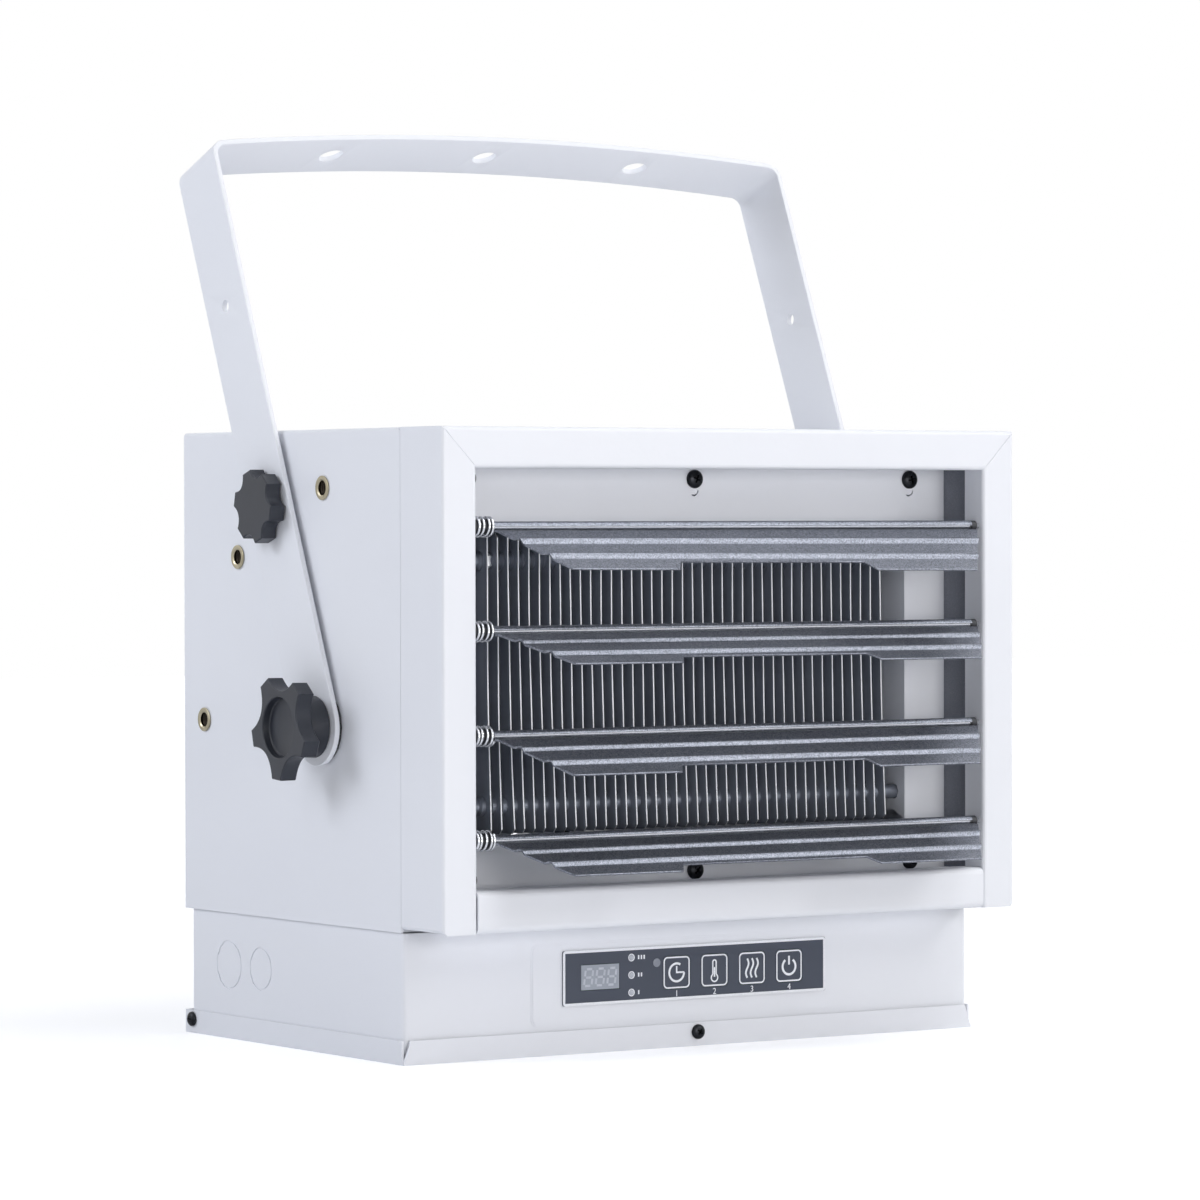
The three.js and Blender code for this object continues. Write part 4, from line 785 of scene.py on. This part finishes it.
pin_radius = 0.0015
edge_break = 0.0004
bush_bore = 0.0016
bush_radius = 0.0027
bush_length = 0.0036
bush_x = louvre_middle + louvre_half - bush_length
sleeve_radius = 0.0038
spring_wire = 0.00065
spring_radius = 0.0049
spring_turns = 4.25
spring_closing = 0.45
for index, (tilt, twist, height) in enumerate(zip(louvre_tilts, louvre_twists, louvre_heights)):
    body = f"louvre_blade_{index + 1}"
    swing = Matrix.Rotation(-math.radians(tilt), 4, "X")
    hang = Matrix.Translation((louvre_middle, louvre_y, height)) @ swing
    blade = build_blade(f"louvre_strip_{index + 1}", twist)
    blade.data.transform(hang)
    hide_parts(f"louvre_{index + 1}")
    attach(blade, body)
    low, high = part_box(f"louvre_{index + 1}")
    pin_length = high.x - low.x
    pin = turn_piece(f"louvre_pin_{index + 1}", [
        (0, 0), (pin_radius - edge_break, 0), (pin_radius, edge_break), (pin_radius, pin_length - edge_break),
        (pin_radius - edge_break, pin_length), (0, pin_length),
    ], (low.x, louvre_y, height), (1, 0, 0), nickel_wire, sides=20)
    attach(pin, body)
    bush = turn_piece(f"louvre_bush_{index + 1}", [
        (bush_bore, 0), (bush_radius - 0.0002, 0), (bush_radius, 0.0003),
        (bush_radius, bush_length - edge_break), (bush_radius - 0.0003, bush_length),
        (bush_bore, bush_length),
    ], (bush_x, louvre_y, height), (1, 0, 0), black_nylon, sides=24, ring=True)
    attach(bush, "cabinet")
    low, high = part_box(f"louvre_spring_{index + 1}")
    sleeve_length = high.x - low.x
    sleeve = turn_piece(f"louvre_sleeve_{index + 1}", [
        (bush_bore, 0.0002), (sleeve_radius - 0.0002, 0.0002), (sleeve_radius, 0.0006),
        (sleeve_radius, sleeve_length - edge_break), (sleeve_radius - 0.0002, sleeve_length),
        (bush_bore, sleeve_length),
    ], (low.x, louvre_y, height), (1, 0, 0), black_nylon, sides=24, ring=True)
    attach(sleeve, "cabinet")
    run = sleeve_length - 2 * spring_wire
    points = []
    for k in range(211):
        t = k / 210
        # The coils lie closer together towards both ends.
        along = t - spring_closing * math.sin(2 * math.pi * t) / (2 * math.pi)
        angle = t * spring_turns * 2 * math.pi + index * 1.3
        points.append((low.x + spring_wire + run * along, louvre_y + spring_radius * math.sin(angle),
                       height + spring_radius * math.cos(angle)))
    spring = bend_wire(f"louvre_coil_{index + 1}", points, spring_wire, False, nickel_wire)
    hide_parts(f"louvre_spring_{index + 1}")
    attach(spring, "cabinet")

# ---------------------------------------------------------------- power parts
# A cream terminal strip and a black relay stand in the control box, and a green board with four
# tact switches sits behind the keys.

# Solder mask on glass fibre: glossy green, with a faint 1.2 mm weave under it.
solder_mask, tree, shader, place = new_material("green_solder_mask", "#2F6B43", 0.3)
weave = add_node(tree, "TexBrick", {"Vector": place, "Scale": 400, "Color1": linear("#2C6640"),
                                    "Color2": linear("#347248"), "Mortar": linear("#2A603C")})
tree.links.new(weave.outputs["Color"], shader.inputs["Base Color"])
finish_node("control_board", solder_mask)

# Moulded polyamide in cream: even and waxy, with a fine grain.
cream_polyamide, tree, shader, place = new_material("cream_polyamide", "#E8E2D2", 0.45)
grain = add_node(tree, "TexNoise", {"Vector": place, "Scale": 900, "Detail": 2})
bump = add_node(tree, "Bump", {"Height": grain, "Strength": 0.25, "Distance": 0.00006})
tree.links.new(bump.outputs["Normal"], shader.inputs["Normal"])
finish_node("terminal_block", cream_polyamide)
finish_node("power_relay", black_nylon)

# ---------------------------------------------------------------- control panel
# A polyester film, printed in slate grey, is stuck over the pad. Its white line art is generic, and
# its four keys give by 0.4 mm. Smoked acrylic covers the three unlit digits of the display.

# Printed polyester film: slate grey under a velvet face of 0.4 mm grain, so highlights spread.
slate_film, tree, shader, place = new_material("slate_polyester_film", "#3F4553", 0.36)
velvet = add_node(tree, "TexNoise", {"Vector": place, "Scale": 1250, "Detail": 2})
sheen = add_node(tree, "MapRange", {"Value": velvet, "To Min": 0.28, "To Max": 0.46})
bump = add_node(tree, "Bump", {"Height": velvet, "Strength": 0.15, "Distance": 0.00005})
tree.links.new(sheen.outputs["Result"], shader.inputs["Roughness"])
tree.links.new(bump.outputs["Normal"], shader.inputs["Normal"])
finish_node("overlay_panel", slate_film)

# Smoked acrylic: pale, glossy and a little hazy.
display_acrylic, tree, shader, place = new_material("smoked_display_acrylic", "#9EA4AE", 0.12)
haze = add_node(tree, "TexNoise", {"Vector": place, "Scale": 90, "Detail": 2})
tone = add_node(tree, "Mix", {"data_type": "RGBA", 0: haze, 6: linear("#979DA8"), 7: linear("#A8AEB8")})
tree.links.new(tone.outputs[2], shader.inputs["Base Color"])
finish_node("display_module", display_acrylic)

# White screen ink, 0.05 mm thick: matt, and a little uneven.
white_ink, tree, shader, place = new_material("white_screen_ink", "#F2F4F8", 0.5)
mottle = add_node(tree, "TexNoise", {"Vector": place, "Scale": 1500, "Detail": 1})
tone = add_node(tree, "Mix", {"data_type": "RGBA", 0: mottle, 6: linear("#E4E7EE"), 7: linear("#FBFCFF")})
tree.links.new(tone.outputs[2], shader.inputs["Base Color"])

# Milky diffuser plastic of the lamps and the digits, which are off: pale grey and soft.
lamp_diffuser, tree, shader, place = new_material("milky_lamp_diffuser", "#B9BEC7", 0.35)
milk = add_node(tree, "TexNoise", {"Vector": place, "Scale": 500, "Detail": 1})
tone = add_node(tree, "Mix", {"data_type": "RGBA", 0: milk, 6: linear("#ADB2BC"), 7: linear("#C6CAD2")})
tree.links.new(tone.outputs[2], shader.inputs["Base Color"])

# Infrared filter of the receiver: grey and half glossy, with a slight tint.
receiver_acrylic, tree, shader, place = new_material("grey_receiver_acrylic", "#878C97", 0.3)
tint = add_node(tree, "TexNoise", {"Vector": place, "Scale": 300, "Detail": 1})
tone = add_node(tree, "Mix", {"data_type": "RGBA", 0: tint, 6: linear("#828792"), 7: linear("#8D929D")})
tree.links.new(tone.outputs[2], shader.inputs["Base Color"])

panel_height = 0.040
ink = 0.00005
ink_width = 0.0008
film_low, film_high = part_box("overlay_panel")
film_face = film_low.y


def print_line(name, points, width, face, closed, body, material=white_ink):
    """A line of ink: a flat ribbon along (x, z) points on a face that looks forward."""
    count = len(points)
    vertices = []
    for i, (x, z) in enumerate(points):
        here = Vector((x, z))
        before = Vector(points[i - 1]) if i or closed else here
        after = Vector(points[(i + 1) % count]) if i < count - 1 or closed else here
        inward = (here - before if here != before else after - here).normalized()
        outward = (after - here if after != here else here - before).normalized()
        mitre = (inward + outward).normalized()
        side = Vector((-mitre.y, mitre.x)) * (width / 2 / max(mitre.dot(inward), 0.4))
        for sign, y in ((1, face - ink), (-1, face - ink), (-1, face + ink / 2), (1, face + ink / 2)):
            vertices.append((x + sign * side.x, y, z + sign * side.y))
    faces = []
    for i in range(count if closed else count - 1):
        j = (i + 1) % count
        for k in range(4):
            faces.append((4 * i + k, 4 * i + (k + 1) % 4, 4 * j + (k + 1) % 4, 4 * j + k))
    if not closed:
        faces += [(0, 3, 2, 1), tuple(4 * (count - 1) + k for k in range(4))]
    line = make_piece(name, vertices, faces, [material])
    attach(line, body)


def rounded_square(x, z, half_width, half_height, radius):
    """Points round a rectangle with round corners."""
    points = []
    for corner, (sx, sz) in enumerate(((1, 1), (-1, 1), (-1, -1), (1, -1))):
        for k in range(7):
            a = math.pi / 2 * (corner + k / 6)
            points.append((x + sx * (half_width - radius) + radius * math.cos(a),
                           z + sz * (half_height - radius) + radius * math.sin(a)))
    return points


def arc(x, z, radius, start, end, steps=28):
    """Points along an arc between two angles in degrees."""
    angles = [math.radians(start + (end - start) * k / steps) for k in range(steps + 1)]
    return [(x + radius * math.cos(a), z + radius * math.sin(a)) for a in angles]


def print_number(name, words, x, z, size, face, body):
    """A plain number in ink, centred on a place."""
    text = bpy.data.curves.new(name, "FONT")
    text.body = words
    text.size = size
    text.align_x = "CENTER"
    text.align_y = "CENTER"
    text.extrude = ink / 2
    text.materials.append(white_ink)
    mark = bpy.data.objects.new(name, text)
    mark.matrix_world = Matrix.Translation((x, face - ink / 2, z)) @ Matrix.Rotation(math.pi / 2, 4, "X")
    bpy.context.scene.collection.objects.link(mark)
    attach(mark, body)


border_width = 0.0014
border_corner = 0.0009
border_x = (film_high.x - film_low.x - border_width) / 2
border_z = (film_high.z - film_low.z - border_width) / 2
print_line("panel_border", rounded_square(0, panel_height, border_x, border_z, border_corner), border_width,
           film_face, True, "cabinet")


def print_clock(name, x, z, face, body):
    """A clock: a dial that is open at its upper right, and two hands."""
    dial = 0.0048
    print_line(f"{name}_dial", arc(x, z, dial, 60, 360), 0.0012, face, False, body)
    print_line(f"{name}_hands", [(x, z + 0.0034), (x, z), (x + dial, z)], 0.0009, face, False, body)


def print_thermometer(name, x, z, face, body):
    """A thermometer: a tube closed by a round top, a bulb, and the thread of liquid in them."""
    bore = 0.0011
    bottom = z - 0.0022
    tube = [(x - bore, bottom)] + arc(x, z + 0.0044, bore, 180, 0, 8) + [(x + bore, bottom)]
    print_line(f"{name}_tube", tube, ink_width, face, False, body)
    print_line(f"{name}_bulb", arc(x, z - 0.0040, 0.0021, 122, 418), ink_width, face, False, body)
    print_line(f"{name}_thread", [(x, z + 0.0016), (x, z - 0.0036)], 0.0010, face, False, body)


def print_waves(name, x, z, face, body):
    """Warm air: three upright waves side by side."""
    pitch = 0.0031
    swing = 0.0009
    half = 0.0052
    for wave in (-1, 0, 1):
        path = [(x + wave * pitch + swing * math.sin(k / 10 * math.pi), z + half - 2 * half * k / 20)
                for k in range(21)]
        print_line(f"{name}_wave_{wave + 2}", path, 0.0011, face, False, body)


def print_ring_and_bar(name, x, z, face, body):
    """The usual sign for on and off: a ring that is open at its top, and a bar in the gap."""
    print_line(f"{name}_ring", arc(x, z - 0.0004, 0.0043, 125, 415), 0.0013, face, False, body)
    print_line(f"{name}_bar", [(x, z + 0.0054), (x, z + 0.0006)], 0.0012, face, False, body)


# The four keys, from left to right, with their outlines, their signs and the numbers under them.
key_margin = 0.0006
key_corner = 0.0021
number_drop = 0.0114
number_size = 0.0047
keys = (("key_timer", "timer_button", print_clock),
        ("key_temperature", "temperature_button", print_thermometer),
        ("key_mode", "mode_button", print_waves),
        ("key_power", "power_button", print_ring_and_bar))
for number, (name, body, print_sign) in enumerate(keys):
    finish_node(name, slate_film)
    low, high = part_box(name)
    x = (low.x + high.x) / 2
    half = (high.x - low.x) / 2 - key_margin
    outline = rounded_square(x, panel_height, half, half, key_corner)
    print_line(f"{name}_outline", outline, ink_width, low.y, True, body)
    print_sign(name, x, panel_height, low.y, body)
    print_number(f"key_number_{number + 1}", str(number + 1), x, panel_height - number_drop, number_size,
                 film_face, "cabinet")

# Three domed lamps beside the display, each with its power level as a row of bars, and the round
# window of the remote receiver.
lamp_x = -0.0420
receiver_place = (-0.0257, 0.0458)
lamp_pitch = 0.0093
lamp_radius = 0.0014
ring_radius = 0.0018
receiver_radius = 0.0023
first_bar = 0.0046
bar_pitch = 0.0018
bar_half = 0.0011
bar_width = 0.0009
lamps = [(level, panel_height + (level - 2) * lamp_pitch) for level in (3, 2, 1)]
domes = [(f"panel_lamp_{level}", lamp_x, z, lamp_radius, lamp_diffuser) for level, z in lamps]
domes.append(("receiver_window", *receiver_place, receiver_radius, receiver_acrylic))
for name, x, z, radius, material in domes:
    dome = turn_piece(name, [
        (0, 0), (radius, 0), (radius, 0.00015), (radius * 0.86, 0.0003), (radius * 0.5, 0.0004), (0, 0.00042),
    ], (x, film_face, z), (0, -1, 0), material, sides=28)
    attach(dome, "cabinet")
for level, z in lamps:
    ring = arc(lamp_x, z, ring_radius, 0, 345, 23)
    print_line(f"panel_lamp_ring_{level}", ring, 0.0005, film_face, True, "cabinet")
    for bar in range(level):
        x = lamp_x + first_bar + bar_pitch * bar
        stroke = [(x, z - bar_half), (x, z + bar_half)]
        print_line(f"level_{level}_bar_{bar + 1}", stroke, bar_width, film_face, False, "cabinet")

# The display's unlit segments stand out a little paler than the acrylic round them.
display_low, display_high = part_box("display_module")
digit_pitch = 0.0074
digit_half = 0.0024
digit_rise = 0.0044
slant = 0.0006
segment_gap = 0.16
segment_width = 0.0012
flat_segments = [((-1, row), (1, row)) for row in (1, 0, -1)]
upright_segments = [((side, row), (side, row + 1)) for row in (0, -1) for side in (-1, 1)]
for digit in range(3):
    x = (display_low.x + display_high.x) / 2 + (digit - 1) * digit_pitch
    for number, (start, end) in enumerate(flat_segments + upright_segments):
        a, b = [Vector((x + sx * digit_half + sz * slant, panel_height + sz * digit_rise))
                for sx, sz in (start, end)]
        segment = [a.lerp(b, segment_gap), a.lerp(b, 1 - segment_gap)]
        print_line(f"display_{digit + 1}_segment_{number + 1}", segment, segment_width, display_low.y, False,
                   "cabinet", lamp_diffuser)

# ---------------------------------------------------------------- bracket
# The bracket is one strap of flat bar, folded over the cabinet into an arched crown and painted
# as the cabinet is. Its feet are rounded, and it has three holes in the crown and three in each arm.

pivot = Vector((0, -0.0345, 0.173))
bracket_lean = math.radians(22.5)
strap_half = 0.0205
strap_thickness = 0.003
arm_outer = 0.1903
strap_bend = 0.009
crown_height = 0.3429
crown_radius = 1.850
index_height = 0.126
arm_holes = ((0, 0.0039), (index_height, 0.0031), (0.2435, 0.0034))
crown_holes = (-0.102, 0, 0.102)
crown_hole_radius = 0.007
strap_edge = 0.0005
foot_tip = 0.0008
bracket_place = Matrix.Translation(pivot) @ Matrix.Rotation(-bracket_lean, 4, "X")


def strap_path():
    """(x, z, outward x, outward z) along the outside of the strap, from foot to foot."""
    centre = crown_height - crown_radius
    bend_x = arm_outer - strap_bend
    bend_z = centre + math.sqrt((crown_radius - strap_bend) ** 2 - bend_x ** 2)
    turn = math.atan2(bend_z - centre, bend_x)
    path = [(arm_outer, -strap_half * math.cos(math.pi / 2 * k / 14), 1, 0) for k in range(15)]
    path += [(arm_outer, bend_z * k / 20, 1, 0) for k in range(1, 20)]
    for k in range(13):
        a = turn * k / 12
        path.append((bend_x + strap_bend * math.cos(a), bend_z + strap_bend * math.sin(a),
                     math.cos(a), math.sin(a)))
    for k in range(1, 33):
        a = turn + (math.pi / 2 - turn) * k / 32
        path.append((crown_radius * math.cos(a), centre + crown_radius * math.sin(a),
                     math.cos(a), math.sin(a)))
    return path + [(-x, z, -nx, nz) for x, z, nx, nz in reversed(path[:-1])]


def strap_section(half_width):
    """The strap's cross-section, as (across, out), with its long edges broken."""
    edge = min(strap_edge, half_width / 2)
    points = []
    for side, face in ((1, 1), (-1, 1), (-1, -1), (1, -1)):
        for k in range(4):
            a = math.pi / 2 * k / 3
            over, out = (math.cos(a), math.sin(a)) if side * face > 0 else (math.sin(a), math.cos(a))
            points.append((side * (half_width - edge + edge * over),
                           -strap_thickness / 2 + face * (strap_thickness / 2 - edge + edge * out)))
    return points


def build_strap():
    """The strap, standing upright on its pivot, with its feet rounded and its holes drilled."""
    loops = []
    for x, z, out_x, out_z in strap_path():
        width = strap_half if z >= 0 else max(math.sqrt(max(strap_half ** 2 - z ** 2, 0)), foot_tip)
        loops.append([Vector((x + out_x * d, y, z + out_z * d)) for y, d in strap_section(width)])
    vertices, faces = skin(loops)
    strap = make_piece("bracket_strap", vertices, faces, [white_powder])
    reach = arm_outer + 0.004
    drill_half = 0.015
    cutters = []
    for hole, (z, radius) in enumerate(arm_holes):
        drill = [(0, 0), (radius, 0), (radius, 2 * reach), (0, 2 * reach)]
        cutters.append(turn_piece(f"arm_hole_{hole}", drill, (-reach, 0, z), (1, 0, 0), white_powder,
                                  sides=40))
    drill = [(0, 0), (crown_hole_radius, 0), (crown_hole_radius, 2 * drill_half), (0, 2 * drill_half)]
    for hole, x in enumerate(crown_holes):
        cutters.append(turn_piece(f"crown_hole_{hole}", drill, (x, 0, crown_height - drill_half), (0, 0, 1),
                                  white_powder, sides=48))
    cut_away(strap, cutters, bevel=0.0003)
    return strap


strap = build_strap()
strap.matrix_world = bracket_place
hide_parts("mounting_bracket")
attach(strap, "bracket")

# ---------------------------------------------------------------- threaded inserts and spacers
# Five flanged steel inserts are riveted in each side wall, one on the pivot and four on the circle
# that the lock knob follows. A nylon spacer ring keeps the strap off the paint at each pivot.

# Yellow passivated zinc: pale olive brass, with greyer and browner bands a few millimetres wide.
yellow_zinc, tree, shader, place = new_material("yellow_passivated_zinc", "#A89F86", 0.3, 1.0)
band = add_node(tree, "TexNoise", {"Vector": place, "Scale": 160, "Detail": 1})
tone = add_node(tree, "Mix", {"data_type": "RGBA", 0: band, 6: linear("#8C836B"), 7: linear("#CFC7AF")})
tree.links.new(tone.outputs[2], shader.inputs["Base Color"])

# Painted shade in the bores: the thread is dark brown, mottled darker and paler, as the inside of a hole lies
# in shadow.
painted_bore_shade, tree, shader, place = new_material("painted_bore_shade", "#2B241B", 0.3, 0.6)
bore_shade_mottle = add_node(tree, "TexNoise", {"Vector": place, "Scale": 500, "Detail": 1})
tone = add_node(tree, "Mix", {"data_type": "RGBA", 0: bore_shade_mottle, 6: linear("#17120C"), 7: linear("#443A2B")})
tree.links.new(tone.outputs[2], shader.inputs["Base Color"])

cabinet_wall = 0.185
insert_bore = 0.0039
insert_barrel = 0.0052
insert_flange = 0.0065
insert_length = 0.012
insert_seat = 0.0003
insert_face = 0.0011
insert_edge = 0.0003
thread_pitch = 0.00125
thread_depth = 0.0005
thread_flank = 0.0006
bore_shade_reach = 0.0003
insert_profile = [(insert_bore, -insert_length), (insert_barrel, -insert_length),
                  (insert_barrel, insert_seat), (insert_flange, insert_seat),
                  (insert_flange, insert_face - insert_edge), (insert_flange - insert_edge, insert_face),
                  (insert_bore + 0.0007, insert_face), (insert_bore, insert_face - 0.0005)]
for turn in range(8):
    at = -thread_flank - turn * thread_pitch
    insert_profile += [(insert_bore, at), (insert_bore + thread_depth, at - thread_flank)]
for node in sorted(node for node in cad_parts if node.startswith("insert_")):
    low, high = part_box(node)
    middle = (low + high) / 2
    side = -1 if node.endswith("left") else 1
    insert = turn_piece(f"{node}_ring", insert_profile, (side * cabinet_wall, middle.y, middle.z),
                        (side, 0, 0), yellow_zinc, sides=40, ring=True)
    # Only the faces of the bore get the painted shade.
    insert.data.materials.append(painted_bore_shade)
    for face in insert.data.polygons:
        from_axis = math.hypot(face.center.y - middle.y, face.center.z - middle.z)
        face.material_index = 1 if from_axis < insert_bore + bore_shade_reach else 0
    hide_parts(node)
    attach(insert, "cabinet")

for label in ("left", "right"):
    finish_node(f"pivot_spacer_{label}", black_nylon)

# ---------------------------------------------------------------- clamp knobs and lock knobs
# Moulded knobs on steel studs: a large five-lobed clamp knob on each pivot, with a collar and a
# recessed face, and a smaller six-lobed lock knob that screws into one of the index inserts.

# Moulded phenolic: charcoal, half glossy, with pale lines where its sharp edges catch the light.
phenolic, tree, shader, place = new_material("charcoal_phenolic", "#282A32", 0.38)
flow = add_node(tree, "TexNoise", {"Vector": place, "Scale": 60, "Detail": 2})
pit = add_node(tree, "TexNoise", {"Vector": place, "Scale": 1200, "Detail": 2})
tone = add_node(tree, "Mix", {"data_type": "RGBA", 0: flow, 6: linear("#20232B"), 7: linear("#2B2F39")})
bump = add_node(tree, "Bump", {"Height": pit, "Strength": 0.2, "Distance": 0.00006})
tree.links.new(tone.outputs[2], shader.inputs["Base Color"])
tree.links.new(bump.outputs["Normal"], shader.inputs["Normal"])


def lobed_outline(radius, waist, tip, lobes):
    """Points round a lobed head: a straight tip on each lobe and a hollow between two lobes."""
    step = 2 * math.pi / lobes
    tip_angle = math.asin(tip / 2 / radius)
    pull = 2 * waist - radius * math.cos(step / 2 - tip_angle)
    points = []
    for i in range(lobes):
        middle = i * step
        start, end, following = [Vector((radius * math.cos(a), radius * math.sin(a)))
                                 for a in (middle - tip_angle, middle + tip_angle, middle + step - tip_angle)]
        points += [start.lerp(end, k / 4) for k in range(4)]
        bow = Vector((pull * math.cos(middle + step / 2), pull * math.sin(middle + step / 2)))
        for k in range(14):
            t = k / 14
            points.append(end * (1 - t) ** 2 + bow * 2 * t * (1 - t) + following * t * t)
    return points


def knob_loops(outline, steps):
    """Loops up a knob: each step is (height, inset of the outline, radius if it is a circle)."""
    loops = []
    for height, inset, radius in steps:
        loop = []
        for i, point in enumerate(outline):
            inward = (point - outline[i - 1]).normalized()
            outward = (outline[(i + 1) % len(outline)] - point).normalized()
            mitre = (inward + outward).normalized()
            reach = inset / max(mitre.dot(inward), 0.5)
            moved = point + Vector((-mitre.y, mitre.x)) * reach
            if radius:
                moved = point.normalized() * radius
            loop.append(Vector((moved.x, moved.y, height)))
        loops.append(loop)
    return loops


def add_knob(name, node, loops, stud, matrix, body):
    """A lobed knob in place of a node, and the stud moulded in it, given by its radius and length."""
    stud_radius, stud_length = stud
    vertices, faces = skin(loops)
    knob = make_piece(name, vertices, faces, [phenolic], sharp=28)
    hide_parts(node)
    profile = [(0, -stud_length), (stud_radius - thread_flank, -stud_length)]
    at = thread_flank - stud_length
    while at < -0.0004:
        profile += [(stud_radius, at), (stud_radius - thread_depth, at + thread_flank)]
        at += thread_pitch
    profile += [(stud_radius - thread_depth, 0.0005), (0, 0.0005)]
    bolt = turn_piece(f"{name}_stud", profile, (0, 0, 0), (0, 0, 1), yellow_zinc, sides=28)
    for piece in (knob, bolt):
        piece.matrix_world = matrix
        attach(piece, body)


clamp_outline = lobed_outline(radius=0.0280, waist=0.0194, tip=0.0091, lobes=5)
clamp_turn = 13.6
clamp_stud = (0.0035, 0.0155)
collar_height = 0.0125
collar_rim = 0.0160
clamp_face = 0.0225
clamp_edge = 0.0005
recess = 0.0160
recess_floor = clamp_face - 0.0044
clamp_loops = knob_loops(clamp_outline, [
    (0, 0, collar_rim - 0.0002), (0.0005, 0, collar_rim + 0.0004),
    (collar_height - 0.0006, 0, collar_rim - 0.0003), (collar_height, 0, collar_rim),
    (collar_height, 0.0009, 0), (collar_height + 0.0008, 0.0001, 0), (clamp_face - clamp_edge, 0, 0),
    (clamp_face, clamp_edge, 0), (clamp_face, 0, recess + clamp_edge), (clamp_face - clamp_edge, 0, recess),
    (recess_floor + 0.0008, 0, recess - 0.0006), (recess_floor + 0.0002, 0, recess - 0.0011),
    (recess_floor, 0, recess - 0.0022), (recess_floor, 0, 0.0008),
])

lock_outline = lobed_outline(radius=0.0198, waist=0.0156, tip=0.0080, lobes=6)
lock_turn = 26.2
lock_stud = (0.0027, 0.0042)
boss = 0.0004
boss_radius = 0.0080
lock_face = boss + 0.0094
lock_edge = 0.0006
lock_loops = knob_loops(lock_outline, [
    (0, 0, boss_radius - 0.0002), (boss / 2, 0, boss_radius), (boss, 0, boss_radius), (boss, 0.0007, 0),
    (boss + 0.0007, 0, 0), (lock_face - lock_edge, 0, 0), (lock_face, lock_edge, 0), (lock_face, 0, 0.0008),
])

knob_seat = arm_outer + 0.0003
for label, side in (("left", -1), ("right", 1)):
    outwards = Matrix.Rotation(side * math.pi / 2, 4, "Y")
    twist = Matrix.Rotation(math.radians(90 - side * clamp_turn), 4, "Z")
    spot = Matrix.Translation((side * knob_seat, pivot.y, pivot.z)) @ outwards @ twist
    add_knob(f"clamp_{label}", f"clamp_knob_{label}", clamp_loops, clamp_stud, spot, f"{label}_clamp")
    twist = Matrix.Rotation(math.radians(90 - side * lock_turn), 4, "Z")
    spot = bracket_place @ Matrix.Translation((side * knob_seat, 0, index_height)) @ outwards @ twist
    add_knob(f"lock_{label}", f"lock_knob_{label}", lock_loops, lock_stud, spot, f"{label}_lock")
